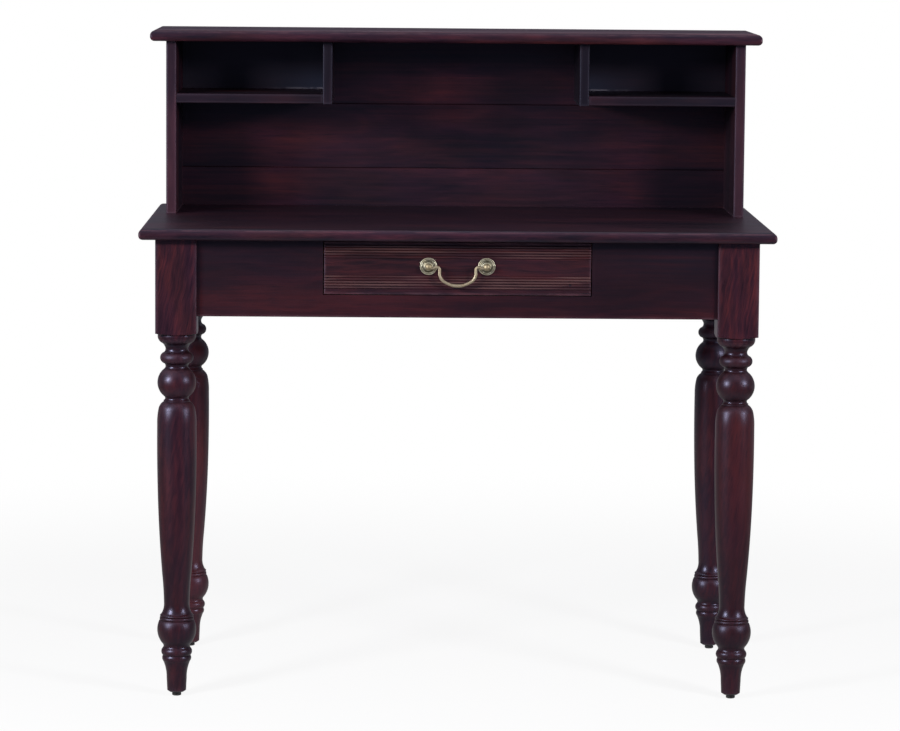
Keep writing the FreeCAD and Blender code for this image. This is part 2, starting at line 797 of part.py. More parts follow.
def bail():
    """One wire through both posts: arms, swan necks, knees and a flat grip."""
    tip = pull_spacing / 2 + math.sqrt(post_ball_radius ** 2 - bail_pivot_drop ** 2)
    arm = pull_spacing / 2 - post_ball_radius - bail_arm_straight
    neck = arm - bail_neck_inset
    right = ((tip, 0, 0), (arm, 0, bail_arm_radius),
             (neck, bail_shoulder_rise, bail_shoulder_radius),
             (neck, -bail_knee_drop, bail_knee_radius),
             (bail_grip_flat / 2, -bail_drop, bail_grip_radius))
    places = list(right) + [(-x, z, r) for x, z, r in reversed(right)]
    points = [Vector(x, pivot_y, pivot_z + z) for x, z, r in places]
    path = Part.Wire(rounded_edges(points, [r for x, z, r in places], False))
    section = Part.Wire(Part.makeCircle(bail_wire_radius, points[0], Vector(1, 0, 0)))
    wire = path.makePipeShell([section], True, False)
    share = wire.Volume / (math.pi * bail_wire_radius ** 2 * path.Length)
    print("bail wire volume over section times length:", round(share, 4))
    return wire


def pull():
    for side, sx in sides.items():
        x = sx * pull_spacing / 2
        save(rosette(x), "pull_rosette_" + side)
        save(post(x), "pull_post_" + side)
    save(Part.makeCompound([nut(s * pull_spacing / 2) for s in (-1, 1)]), "pull_nuts")
    save(bail(), "pull_bail")


# Hutch

def shelf_housing_box(sx, gap):
    reach = hutch_inner_x + shelf_housing - joint_gap + gap
    span = sorted((sx * divider_outer_x, sx * reach))
    low = (span[0], shelf_front_y, shelf_bottom - gap)
    return low, (span[1], back_boards_front_y, shelf_bottom + shelf_thickness + gap)


def back_boards():
    """Three boards across the back, tongued and grooved together and held in the sides' grooves."""
    half = hutch_inner_x + hutch_back_groove - joint_gap
    rise = total_height - desk_height
    seams = tuple(desk_height + rise * share for share in hutch_seam_shares)
    levels = (desk_height,) + seams + (hutch_under_top,)
    middle_y = (back_boards_front_y + back_boards_rear_y) / 2
    names = ("hutch_back_lower", "hutch_back_middle", "hutch_back_upper")
    for i, node in enumerate(names):
        low = levels[i] + (hutch_seam_gap if i > 0 else 0)
        high = levels[i + 1]
        ease = (hutch_back_arris if i > 0 else 0, 0, 0, hutch_back_arris if i < 2 else 0)
        board = bar((-half, back_boards_front_y, low), (half, back_boards_rear_y, high), "X", ease)
        if i < 2:
            tongue = bar((-half, middle_y - tongue_thickness / 2, high),
                         (half, middle_y + tongue_thickness / 2, high + tongue_length))
            board = board.fuse(tongue).removeSplitter()
        if i > 0:
            slot = tongue_thickness / 2 + joint_gap
            board = board.cut(bar((-half - overrun, middle_y - slot, low - overrun),
                                  (half + overrun, middle_y + slot, low + tongue_length + joint_gap)))
        save(board, node)


def hutch_sides():
    holes = foot_screws(screw_gap) + hutch_dowels(screw_gap)
    ease = (hutch_side_arris, hutch_side_arris, 0, 0)
    for side, sx in sides.items():
        span = sorted((sx * hutch_inner_x, sx * hutch_outer_x))
        board = bar((span[0], hutch_front_y, desk_height),
                    (span[1], desk_depth / 2, hutch_under_top), "Z", ease)
        reach = sorted((sx * (hutch_inner_x - overrun), sx * (hutch_inner_x + hutch_back_groove)))
        groove = bar((reach[0], back_boards_front_y - joint_gap, desk_height - overrun),
                     (reach[1], back_boards_rear_y + joint_gap, hutch_under_top + overrun))
        housing = bar(*shelf_housing_box(sx, joint_gap))
        save(board.cut([groove, housing] + holes), "hutch_side_" + side)


def shelves_and_dividers():
    holes = hutch_dowels(screw_gap)
    ease = (shelf_arris, 0, 0, shelf_arris)
    for side, sx in sides.items():
        low, high = shelf_housing_box(sx, 0)
        save(bar(low, high, "X", ease).cut(holes), "cubby_shelf_" + side)
        span = sorted((sx * divider_inner_x, sx * divider_outer_x))
        divider = bar((span[0], shelf_front_y, shelf_bottom),
                      (span[1], back_boards_front_y, hutch_under_top),
                      "Z", (shelf_arris, shelf_arris, 0, 0))
        save(divider.cut(holes), "cubby_divider_" + side)


def hutch_top():
    board = moulded_top(hutch_outer_x + hutch_top_overhang, hutch_top_front_y, desk_depth / 2,
                        hutch_under_top, total_height)
    return board.cut(hutch_dowels(screw_gap))


def hutch():
    hutch_sides()
    save(hutch_top(), "hutch_top")
    back_boards()
    shelves_and_dividers()
    save(Part.makeCompound(hutch_dowels()), "hutch_dowels")
    save(Part.makeCompound(foot_screws()), "hutch_foot_screws")


def main():
    os.makedirs("parts", exist_ok=True)
    save(desk_top(), "desk_top")
    legs()
    foot_glides()
    aprons()
    corner_blocks()
    save(Part.makeCompound(top_screws()), "desk_top_screws")
    runners()
    kickers()
    save(Part.makeCompound(kicker_screws()), "kicker_screws")
    drawer_stops()
    drawer()
    pull()
    hutch()


main()
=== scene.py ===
import json
import math
import bpy
import numpy as np
from mathutils import Matrix, Vector


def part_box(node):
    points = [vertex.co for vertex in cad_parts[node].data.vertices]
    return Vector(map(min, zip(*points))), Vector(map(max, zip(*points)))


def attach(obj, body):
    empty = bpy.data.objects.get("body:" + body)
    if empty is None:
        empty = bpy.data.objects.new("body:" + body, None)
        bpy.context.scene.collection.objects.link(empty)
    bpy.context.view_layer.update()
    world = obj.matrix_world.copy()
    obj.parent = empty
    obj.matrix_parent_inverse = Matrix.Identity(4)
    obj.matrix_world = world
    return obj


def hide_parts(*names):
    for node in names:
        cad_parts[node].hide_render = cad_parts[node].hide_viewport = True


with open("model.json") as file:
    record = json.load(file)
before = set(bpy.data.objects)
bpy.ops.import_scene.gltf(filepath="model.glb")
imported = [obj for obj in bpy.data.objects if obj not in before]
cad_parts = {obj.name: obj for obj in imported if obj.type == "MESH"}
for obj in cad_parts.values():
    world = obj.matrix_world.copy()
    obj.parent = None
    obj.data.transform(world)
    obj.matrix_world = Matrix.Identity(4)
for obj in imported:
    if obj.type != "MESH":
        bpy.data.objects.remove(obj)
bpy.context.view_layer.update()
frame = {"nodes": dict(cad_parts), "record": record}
nodes = frame["nodes"]
mm = 0.001  # the pieces below are worked out in millimetres


# The camera stands low in front of the table and looks slightly down on it: metres, radians, and
# millimetres for the lens and the sensor
cameraPlace = {
    "position": (-0.1068, -6.5931, 1.2665),
    "pitchDown": 0.1134,
    "yaw": 0.0151,
    "roll": 0.0082,
    "lens": 159.5,
    "sensor": 36.0,
    "farClip": 100.0,
}


def makeCamera(place):
    data = bpy.data.cameras.new("camera")
    data.sensor_fit = "HORIZONTAL"
    data.sensor_width = place["sensor"]
    data.lens = place["lens"]
    data.clip_end = place["farClip"]
    yaw, pitch = place["yaw"], place["pitchDown"]
    forward = Vector((math.sin(yaw) * math.cos(pitch), math.cos(yaw) * math.cos(pitch), -math.sin(pitch)))
    level = Vector((math.cos(yaw), -math.sin(yaw), 0))
    turn = Matrix.Rotation(-place["roll"], 3, forward)
    right = turn @ level
    up = turn @ level.cross(forward)
    camera = bpy.data.objects.new("camera", data)
    facing = Matrix((right, up, -forward)).transposed().to_4x4()
    camera.matrix_world = Matrix.Translation(place["position"]) @ facing
    bpy.context.scene.collection.objects.link(camera)
    bpy.context.scene.camera = camera


makeCamera(cameraPlace)
bpy.context.scene.view_settings.view_transform = "Standard"
print("camera set")


# Shader helpers: a value given to an input is either a socket, which gets linked, or a plain number or colour

def addNode(tree, kind, inputs=None, **settings):
    made = tree.nodes.new(kind)
    for key, value in settings.items():
        setattr(made, key, value)
    for key, value in (inputs or {}).items():
        if isinstance(value, bpy.types.NodeSocket):
            tree.links.new(value, made.inputs[key])
        else:
            made.inputs[key].default_value = value
    return made


def calc(tree, operation, a, b=0.0, c=0.0, clamp=False):
    return addNode(tree, "ShaderNodeMath", {0: a, 1: b, 2: c}, operation=operation, use_clamp=clamp).outputs[0]


def product(tree, first, *others):
    for other in others:
        first = calc(tree, "MULTIPLY", first, other)
    return first


def leaned(tree, base, value, share, mean=0.5, clamp=False):
    # a base, moved by a share of how far a value stands above its mean
    return calc(tree, "MULTIPLY_ADD", calc(tree, "SUBTRACT", value, mean), share, base, clamp)


def distance(tree, a, b):
    # the root of the sum of two squares
    return calc(tree, "SQRT", calc(tree, "ADD", product(tree, a, a), product(tree, b, b)))


def fade(tree, value, low, high, lowTo=0.0, highTo=1.0):
    # a smooth step from lowTo to highTo while the value goes from low to high
    made = addNode(tree, "ShaderNodeMapRange", {"Value": value, "From Min": low, "From Max": high,
                                                 "To Min": lowTo, "To Max": highTo},
                   interpolation_type="SMOOTHSTEP")
    return made.outputs["Result"]


def colour(r, g, b):
    return (r, g, b, 1.0)


def blendColours(tree, share, first, second, how="MIX"):
    made = addNode(tree, "ShaderNodeMix", {0: share, 6: first, 7: second}, data_type="RGBA", blend_type=how)
    return made.outputs[2]


def tinted(tree, shade, share, tint):
    return blendColours(tree, share, shade, colour(*tint))


def objectSeat(tree):
    return addNode(tree, "ShaderNodeTexCoord").outputs["Object"]


def partsOf(tree, where):
    return addNode(tree, "ShaderNodeSeparateXYZ", {0: where}).outputs


def joined(tree, x, y, z):
    return addNode(tree, "ShaderNodeCombineXYZ", {0: x, 1: y, 2: z}).outputs[0]


def meshLayer(tree, name):
    return addNode(tree, "ShaderNodeAttribute", attribute_name=name).outputs["Fac"]


def noise(tree, where, scale, detail=2.0, roughness=0.5):
    made = addNode(tree, "ShaderNodeTexNoise", {"Vector": where, "Scale": scale, "Detail": detail,
                                                 "Roughness": roughness})
    return made.outputs["Fac"]


def figured(tree, where, size, detail=2.0, roughness=0.5):
    # a noise with so many turns to a metre along the grain, across it and, as across it, into the board
    along, across, into = (*size, size[-1])[:3]
    drawn = addNode(tree, "ShaderNodeVectorMath", {0: where, 1: (along, across, into)}, operation="MULTIPLY")
    return noise(tree, drawn.outputs[0], 1.0, detail, roughness)


def bumped(tree, height, strength, reach, under=None):
    inputs = {"Strength": strength, "Distance": reach, "Height": height}
    if under is not None:
        inputs["Normal"] = under
    return addNode(tree, "ShaderNodeBump", inputs).outputs[0]


def newMaterial(name):
    material = bpy.data.materials.new(name)
    material.use_nodes = True
    tree = material.node_tree
    tree.nodes.clear()
    shader = tree.nodes.new("ShaderNodeBsdfPrincipled")
    output = tree.nodes.new("ShaderNodeOutputMaterial")
    tree.links.new(shader.outputs[0], output.inputs["Surface"])
    return material, tree, shader


def linkFinish(tree, shader, shade, gloss, normal=None):
    tree.links.new(shade, shader.inputs["Base Color"])
    tree.links.new(gloss, shader.inputs["Roughness"])
    if normal is not None:
        tree.links.new(normal, shader.inputs["Normal"])


# Stained wood. The grain runs along the first letter of "grain", the board's width along the second. A stain
# is its dark, middle and red colour, a sway its turns to a metre, its metres to each side and its slant
woodLooks = {
    "leg": {
        "stain": ((0.0084, 0.0027, 0.0056), (0.0275, 0.0066, 0.0108), (0.0650, 0.0118, 0.0142)),
        "rough": 0.32, "tone": 0.08, "streak": 0.76, "fibre": 0.75, "cloud": 1.50, "rings": 0.16, "fall": 0.0,
        "streakSize": (26.0, 230.0), "cloudSize": (7.0, 20.0), "sway": (21.0, 0.0055, -0.20), "worn": 0.22,
        "warm": 0.54, "calm": (0.215, 0.235, 0.45),
    },
    "top": {
        "stain": ((0.0070, 0.0028, 0.0055), (0.0270, 0.0070, 0.0112), (0.0600, 0.0132, 0.0185)),
        "rough": 0.39, "tone": 0.03, "streak": 1.24, "fibre": 0.40, "cloud": 1.80, "rings": 0.08, "fall": 0.0,
        "streakSize": (13.0, 34.0, 130.0), "cloudSize": (3.0, 14.0, 26.0), "sway": (14.0, 0.0060, 0.08),
        "worn": 0.95, "warm": 0.47,
    },
    "apron": {
        "stain": ((0.0050, 0.0017, 0.0031), (0.0140, 0.0028, 0.0044), (0.0350, 0.0050, 0.0064)),
        "rough": 0.40, "tone": 0.00, "streak": 0.68, "fibre": 0.38, "cloud": 1.16, "rings": 0.12, "fall": -3.2,
        "streakSize": (2.6, 140.0), "cloudSize": (3.2, 12.0), "sway": (4.0, 0.0060, 0.0), "worn": 0.30,
        "warm": 0.54,
    },
    "hutch": {
        "stain": ((0.0050, 0.0022, 0.0045), (0.0205, 0.0055, 0.0096), (0.0475, 0.0096, 0.0132)),
        "rough": 0.40, "tone": -0.04, "streak": 0.68, "fibre": 0.32, "cloud": 1.70, "rings": 0.09, "fall": 0.0,
        "streakSize": (2.2, 150.0), "cloudSize": (3.0, 10.0), "sway": (3.0, 0.0050, 0.0), "worn": 0.30,
        "warm": 0.50,
    },
    "drawerFront": {
        "stain": ((0.0066, 0.0027, 0.0040), (0.0225, 0.0054, 0.0072), (0.0455, 0.0085, 0.0098)),
        "rough": 0.40, "tone": 0.06, "streak": 0.96, "fibre": 0.75, "cloud": 0.72, "rings": 0.22, "fall": 0.0,
        "streakSize": (15.0, 240.0), "cloudSize": (4.0, 14.0), "sway": (12.0, 0.0070, 0.0), "worn": 0.30,
        "warm": 0.56,
    },
    "cubby": {
        "stain": ((0.0046, 0.0020, 0.0036), (0.0145, 0.0040, 0.0064), (0.0380, 0.0080, 0.0108)),
        "rough": 0.42, "tone": 0.00, "streak": 0.80, "fibre": 0.32, "cloud": 1.70, "rings": 0.09, "fall": 0.0,
        "streakSize": (3.0, 150.0), "cloudSize": (5.0, 14.0), "sway": (3.0, 0.0050, 0.0), "worn": 0.03,
        "warm": 0.48,
    },
}
woodFigure = {  # metres; a pattern is its size in turns to a metre, its octaves and its roughness
    "swayAcross": 1.6,  # turns of the sway across the grain to one along it
    "pithAcross": 0.035, "pithTurn": 2.3, "pithBelow": 0.060,  # how far the pith lies from the board's middle
    "sideWaver": ((1.6, 7.0), 3.0), "sideReach": 0.040,  # how far the rings wander
    "deepWaver": ((3.91, 8.5), 3.0), "deepReach": 0.060,
    "ringPitch": 0.0085, "ringStray": 3.0, "ringSharp": 1.7, "ringMean": 0.4,
    "streak": (5.0, 0.62), "cloud": (3.0, 0.55), "fibre": ((18.0, 560.0), 3.0, 0.6),
    "pore": ((34.0, 900.0), 1.0), "poreFade": (0.60, 0.72), "poreShare": 0.55,
    "stripShare": 0.16, "stainStops": (0.16, 0.52, 0.92),
    "hue": ((6.5, 22.1), 2.0), "hueFade": (0.86, 1.14),
    "cool": (0.93, 0.98, 1.10), "brown": (1.04, 1.05, 0.87),  # the stain leans to purple here, to brown there
    "hollowShare": 0.8, "hollowColour": (0.0035, 0.0022, 0.0045),
    "patch": ((30.0, 120.0), 3.0, 0.6), "patchFade": (0.40, 0.62), "patchLeast": 0.10,
    # the rubbed colour on edges and proud parts is partly wear and partly a painted highlight
    "wearReach": 0.0050, "wearAndSheenColour": (0.130, 0.056, 0.068),
    "fibreGloss": 0.16, "cloudGloss": 0.12, "wornGloss": 0.22,
    "fibreRise": 0.35, "fineBump": (0.55, 0.000006), "ripple": ((5.0, 9.0), 1.0), "broadBump": (0.5, 0.00035),
    "specular": 0.44, "sheen": (0.62, 0.66, 1.0),  # the satin coat has aged to a bluish sheen
}
boardShift = {"seed": (0.731, 0.217, 0.0), "stave": (9.0, 0.6, 0.05), "firstStave": 10.37}
grainSeeds = {"leg": (3.0, 5.7), "board": (11.0, 3.3), "inner": (4.0, 2.9)}  # the first one and the step


def grainSeed(kind, count):
    first, step = grainSeeds[kind]
    return first + count * step


def boardSpace(tree, grain, centre, seed, stave):
    # object coordinates turned so that x runs along the grain, y across the board and z into it, shifted by a
    # seed. With a stave width the board is glued up from strips, and each strip has its own shift and tone
    seat = objectSeat(tree)
    parts = partsOf(tree, seat)
    order = ["XYZ".index(letter) for letter in grain]
    order.append(3 - sum(order))
    axes = [calc(tree, "SUBTRACT", parts[i], centre[i]) for i in order]
    tone = None
    if stave:
        strip = calc(tree, "DIVIDE", calc(tree, "ADD", axes[1], stave * boardShift["firstStave"]), stave)
        number = calc(tree, "ADD", calc(tree, "FLOOR", strip), seed)
        pick = addNode(tree, "ShaderNodeTexWhiteNoise", {"W": number}, noise_dimensions="1D").outputs
        chosen = addNode(tree, "ShaderNodeSeparateColor", {0: pick["Color"]}).outputs
        axes = [calc(tree, "ADD", axis, calc(tree, "MULTIPLY", share, reach))
                for axis, share, reach in zip(axes, chosen, boardShift["stave"])]
        tone = calc(tree, "SUBTRACT", pick["Value"], 0.5)
    plain = joined(tree, *axes)
    shift = tuple(seed * part for part in boardShift["seed"])
    shifted = addNode(tree, "ShaderNodeVectorMath", {0: plain, 1: shift}, operation="ADD").outputs[0]
    return seat, shifted, plain, tone


def swayed(tree, where, pitch, reach, slant):
    # the grain weaves: a point moves across it by a slow noise, and by a slant times its place along it
    along, across, into = partsOf(tree, where)
    wave = figured(tree, where, (pitch, pitch * woodFigure["swayAcross"]))
    across = leaned(tree, across, wave, reach * 2)
    return joined(tree, along, calc(tree, "MULTIPLY_ADD", along, slant, across), into)


def edgeWearAndSheen(tree, seat, low, high):
    # how near a point of a board is to one of its edges: the middle one of its distances to the three pairs of
    # faces is nought on an edge. The lighter rubbed colour laid there is partly wear and partly a painted
    # highlight on the arrises
    gaps = []
    parts = partsOf(tree, seat)
    for i in range(3):
        inside = calc(tree, "ABSOLUTE", calc(tree, "SUBTRACT", parts[i], (low[i] + high[i]) / 2))
        gaps.append(calc(tree, "SUBTRACT", (high[i] - low[i]) / 2, inside))
    least, most, total = (calc(tree, how, calc(tree, how, gaps[0], gaps[1]), gaps[2])
                          for how in ("MINIMUM", "MAXIMUM", "ADD"))
    middle = calc(tree, "SUBTRACT", calc(tree, "SUBTRACT", total, least), most)
    return fade(tree, middle, 0.0, woodFigure["wearReach"], 1.0, 0.0)


def growthRings(tree, shifted, parts, streak, seed):
    # the sine of the distance from a wandering pith over the pitch of the rings, raised to a power
    figure = woodFigure
    across = leaned(tree, parts[1], figured(tree, shifted, *figure["sideWaver"]), figure["sideReach"])
    below = leaned(tree, parts[2], figured(tree, shifted, *figure["deepWaver"]), figure["deepReach"])
    across = calc(tree, "ADD", across, figure["pithAcross"] * math.sin(seed * figure["pithTurn"]))
    below = calc(tree, "ADD", below, figure["pithBelow"])
    stray = calc(tree, "MULTIPLY", streak, figure["ringStray"])
    turn = 2 * math.pi / figure["ringPitch"]
    phase = calc(tree, "MULTIPLY_ADD", distance(tree, across, below), turn, stray)
    ring = calc(tree, "MULTIPLY_ADD", calc(tree, "SINE", phase), 0.5, 0.5)
    return calc(tree, "POWER", ring, figure["ringSharp"])


def stainShade(tree, tone, tint, shifted):
    # from the dark over the middle to the red of the stain, leaning to purple or to brown in clouds
    ramp = addNode(tree, "ShaderNodeValToRGB", {0: tone})
    stops = ramp.color_ramp.elements
    dark, middle, red = tint["stain"]
    darkEnd, between, redEnd = woodFigure["stainStops"]
    stops[0].position, stops[0].color = darkEnd, colour(*dark)
    stops[1].position, stops[1].color = redEnd, colour(*red)
    stops.new(between).color = colour(*middle)
    start, end = woodFigure["hueFade"]
    hue = figured(tree, shifted, *woodFigure["hue"])
    hue = fade(tree, hue, start - tint["warm"], end - tint["warm"])
    hue = tinted(tree, colour(*woodFigure["cool"]), hue, woodFigure["brown"])
    return blendColours(tree, 1.0, ramp.outputs[0], hue, "MULTIPLY")


def stainedWood(name, look, grain, centre, seed, stave=0.0, edges=None, shaped=False, extra=None, lift=0.0,
                matt=None):
    # growth rings about a pith, stretched streaks, fibres and pores, under a stain that clouds from blue-black
    # to red, and a satin finish. Edges are rubbed lighter, partly wear and partly a painted highlight on the
    # arrises; hollows keep dark stain
    material, tree, shader = newMaterial(name)
    tint, figure = woodLooks[look], woodFigure
    seat, shifted, plain, stripTone = boardSpace(tree, grain, centre, seed, stave)
    parts = partsOf(tree, plain)
    woven = swayed(tree, shifted, *tint["sway"])
    streak = figured(tree, woven, tint["streakSize"], *figure["streak"])
    fibre = figured(tree, woven, *figure["fibre"])
    pore = fade(tree, figured(tree, woven, *figure["pore"]), *figure["poreFade"])
    cloud = figured(tree, shifted, tint["cloudSize"], *figure["cloud"])
    ring = growthRings(tree, shifted, parts, streak, seed)
    tone = leaned(tree, 0.5 + tint["tone"] + lift, ring, tint["rings"], figure["ringMean"])
    streakShare = tint["streak"]
    if "calm" in tint:  # quieter grain below a height
        start, end, share = tint["calm"]
        streakShare = fade(tree, parts[0], start, end, streakShare * share, streakShare)
    tone = leaned(tree, tone, streak, streakShare)
    tone = leaned(tree, tone, cloud, tint["cloud"])
    tone = leaned(tree, tone, fibre, tint["fibre"])
    tone = calc(tree, "MULTIPLY_ADD", parts[1], tint["fall"], tone)  # darker up the board by so much a metre
    if stripTone is not None:
        tone = calc(tree, "MULTIPLY_ADD", stripTone, figure["stripShare"], tone)
    shade = stainShade(tree, tone, tint, shifted)
    shade = tinted(tree, shade, product(tree, pore, figure["poreShare"]), figure["hollowColour"])
    rubbed = None
    if edges is not None:
        rubbed = edgeWearAndSheen(tree, seat, *edges)
    if shaped:
        rubbed, hollow = meshLayer(tree, "rubbed"), meshLayer(tree, "hollow")
        shade = tinted(tree, shade, product(tree, hollow, figure["hollowShare"]), figure["hollowColour"])
    # rubbed edges and proud parts get a lighter colour, partly wear and partly a painted highlight
    if rubbed is not None:
        patch = figured(tree, shifted, *figure["patch"])
        uneven = fade(tree, patch, *figure["patchFade"], tint["worn"] * figure["patchLeast"], tint["worn"])
        shade = tinted(tree, shade, product(tree, rubbed, uneven), figure["wearAndSheenColour"])
    if extra is not None:
        shade = extra(tree, seat, shade, streak)
    gloss = leaned(tree, tint["rough"], fibre, figure["fibreGloss"])
    gloss = leaned(tree, gloss, cloud, figure["cloudGloss"])
    if rubbed is not None:
        gloss = calc(tree, "MULTIPLY_ADD", rubbed, figure["wornGloss"], gloss)
    if matt is not None:  # a dull upper face
        start, end, share = matt
        upward = fade(tree, partsOf(tree, seat)[2], start, end, 0.0, share)
        gloss = calc(tree, "MULTIPLY_ADD", upward, calc(tree, "SUBTRACT", 1.0, gloss), gloss)
    height = calc(tree, "MULTIPLY_ADD", fibre, figure["fibreRise"], product(tree, pore, -1.0))
    fine = bumped(tree, height, *figure["fineBump"])
    broad = bumped(tree, figured(tree, shifted, *figure["ripple"]), *figure["broadBump"], fine)
    linkFinish(tree, shader, shade, gloss, broad)
    shader.inputs["Specular IOR Level"].default_value = figure["specular"]
    shader.inputs["Specular Tint"].default_value = colour(*figure["sheen"])
    return material


# Lathe work and other surfaces: grids of points, in millimetres

def gridFaces(rows, cols, wrapRows=False):
    # quads between the neighbours of a rows by cols grid, whose last column joins its first
    i = np.arange(rows if wrapRows else rows - 1)[:, None]
    j = np.arange(cols)[None, :]
    nextI, nextJ = (i + 1) % rows, (j + 1) % cols
    return np.stack([i * cols + j, i * cols + nextJ, nextI * cols + nextJ, nextI * cols + j], -1).reshape(-1, 4)


def ringGrid(heights, radii, angle, middle):
    # rings of points about an upright axis, each at its height
    return np.stack([middle[0] + radii * np.cos(angle), middle[1] + radii * np.sin(angle),
                     np.broadcast_to(heights[:, None], (len(heights), len(angle)))], -1).reshape(-1, 3)


def endCaps(rows, cols):
    return [np.arange(cols), np.arange(cols) + (rows - 1) * cols]


def putPiece(name, body, points, quads, caps=(), layers=None, sharp=50.0):
    # quads and flat caps go into a mesh; the volume's sign, summed over fans, turns the faces outwards
    loops = np.concatenate([quads.ravel(), *[np.asarray(c) for c in caps]]).astype(np.int32)
    sizes = np.concatenate([np.full(len(quads), 4), [len(c) for c in caps]]).astype(np.int32)
    starts = np.concatenate([[0], np.cumsum(sizes)[:-1]]).astype(np.int32)
    a, b, c, d = (points[quads[:, k]] for k in range(4))
    volume = (a * np.cross(b, c)).sum() + (a * np.cross(c, d)).sum()
    for cap in caps:
        ring = points[np.asarray(cap)]
        volume += (ring[0] * np.cross(ring[1:-1], ring[2:])).sum()
    mesh = bpy.data.meshes.new(name)
    mesh.vertices.add(len(points))
    mesh.vertices.foreach_set("co", (points * mm).astype(np.float32).ravel())
    mesh.loops.add(len(loops))
    mesh.loops.foreach_set("vertex_index", loops)
    mesh.polygons.add(len(sizes))
    mesh.polygons.foreach_set("loop_start", starts)
    mesh.polygons.foreach_set("use_smooth", np.ones(len(sizes), bool))
    mesh.update(calc_edges=True)
    mesh.validate()
    if volume < 0:
        mesh.flip_normals()
    for key, values in (layers or {}).items():
        mesh.attributes.new(key, "FLOAT", "POINT").data.foreach_set("value", values.astype(np.float32).ravel())
    mesh.set_sharp_from_angle(angle=math.radians(sharp))
    piece = bpy.data.objects.new(name, mesh)
    bpy.context.scene.collection.objects.link(piece)
    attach(piece, body)
    return piece


def arcThrough(first, middle, last, step, bend):
    # points on the circle through three points, the first left out: closer than a step, and than a bend in
    # radians
    (ax, ay), (bx, by), (cx, cy) = first, middle, last
    d = 2 * (ax * (by - cy) + bx * (cy - ay) + cx * (ay - by))
    a2, b2, c2 = ax * ax + ay * ay, bx * bx + by * by, cx * cx + cy * cy
    ox = (a2 * (by - cy) + b2 * (cy - ay) + c2 * (ay - by)) / d
    oy = (a2 * (cx - bx) + b2 * (ax - cx) + c2 * (bx - ax)) / d
    radius = math.hypot(ax - ox, ay - oy)
    start = math.atan2(ay - oy, ax - ox)
    toMiddle = (math.atan2(by - oy, bx - ox) - start) % (2 * math.pi)
    toLast = (math.atan2(cy - oy, cx - ox) - start) % (2 * math.pi)
    sweep = toLast if toMiddle < toLast else toLast - 2 * math.pi
    count = max(2, math.ceil(max(abs(sweep) * radius / step, abs(sweep) / bend)))
    angle = start + sweep * np.arange(1, count + 1) / count
    return np.stack([ox + radius * np.cos(angle), oy + radius * np.sin(angle)], -1)


def outlinePoints(start, rows, height, radius, step, bend=0.10):
    # a half section from lines and arcs, each given by shares of a height and a radius: rows of height, radius
    here = (start[0] * height, start[1] * radius)
    pieces = [np.array([here])]
    for row in rows:
        marks = [(h * height, r * radius) for h, r in row]
        if len(marks) == 2:
            pieces.append(arcThrough(here, marks[0], marks[1], step, bend))
        else:
            count = max(1, math.ceil(math.dist(here, marks[0]) / step))
            share = np.arange(1, count + 1)[:, None] / count
            pieces.append(np.array(here) * (1 - share) + np.array(marks[0]) * share)
        here = marks[-1]
    return np.concatenate(pieces)


def hollowShare(heights, radii, reach, depth):
    # how far each ring of a turning lies below the fattest ring within reach of it
    near = np.abs(heights[:, None] - heights[None, :]) < reach
    return np.clip((np.where(near, radii[None, :], 0).max(1) - radii) / depth, 0, 1)


def proudShare(heights, radii, reach, depth):
    # how far each ring stands out from the mean of the rings within reach of it
    near = np.exp(-((heights[:, None] - heights[None, :]) / reach) ** 2)
    return np.clip((radii - (near * radii[None, :]).sum(1) / near.sum(1)) / depth, 0, 1)


# The legs: a square block over one long turning
legShape = {
    "square": 66.0, "blockBottom": 590.0, "top": 744.0, "toe": 6.0, "toeShare": 0.33,
    "arris": 1.8, "shoulderRise": 2.4, "blend": 0.30, "step": 5.0, "grainMiddle": 370.0,
    "flatAngles": 10, "cornerAngles": 5, "shoulderRows": 12, "blockRows": 8, "clear": 0.2,
    "hollowReach": 7.0, "hollowDepth": 9.0, "proudReach": 5.0, "proudDepth": 1.6,
    "arrisFrom": 1.30, "arrisSpan": 0.1,
    "outline": (
        ((0.015, 0.462),), ((0.050, 0.493),),
        ((0.077, 0.543), (0.0965, 0.657)), ((0.1045, 0.714), (0.1125, 0.672)),
        ((0.1225, 0.756), (0.1335, 0.674)), ((0.1385, 0.640),), ((0.1435, 0.672),),
        ((0.184, 0.954), (0.2085, 0.862)), ((0.2107, 0.810),), ((0.2130, 0.838),),
        ((0.2180, 0.826),), ((0.2200, 0.770),), ((0.2225, 0.816), (0.2260, 0.770)),
        ((0.238, 0.668), (0.259, 0.625)), ((0.297, 0.652), (0.335, 0.706)),
        ((0.451, 0.848), (0.573, 0.932)), ((0.660, 0.958), (0.750, 0.957)),
        ((0.775, 0.942), (0.792, 0.896)), ((0.804, 0.815), (0.8122, 0.680)),
        ((0.8135, 0.640),), ((0.8172, 0.640),),
        ((0.8225, 0.570), (0.828, 0.612)), ((0.866, 0.942), (0.903, 0.620)),
        ((0.910, 0.550), (0.9185, 0.620)), ((0.934, 0.812), (0.9485, 0.630)),
        ((0.956, 0.552), (0.9655, 0.590)), ((0.9705, 0.645), (0.9745, 0.730)),
        ((0.983, 0.8845), (0.9975, 0.928)), ((1.000, 1.000),),
    ),
}


def squareReach(angle, half, corner):
    # distance from the middle of a square with rounded corners to its outline in each direction
    fold = np.abs((angle + math.pi / 4) % (math.pi / 2) - math.pi / 4)
    core = half - corner
    along = core * (np.cos(fold) + np.sin(fold))
    rounded = along + np.sqrt(np.maximum(corner ** 2 - (2 * core ** 2 - along ** 2), 0))
    return np.where(half * np.tan(fold) <= core, half / np.cos(fold), rounded)


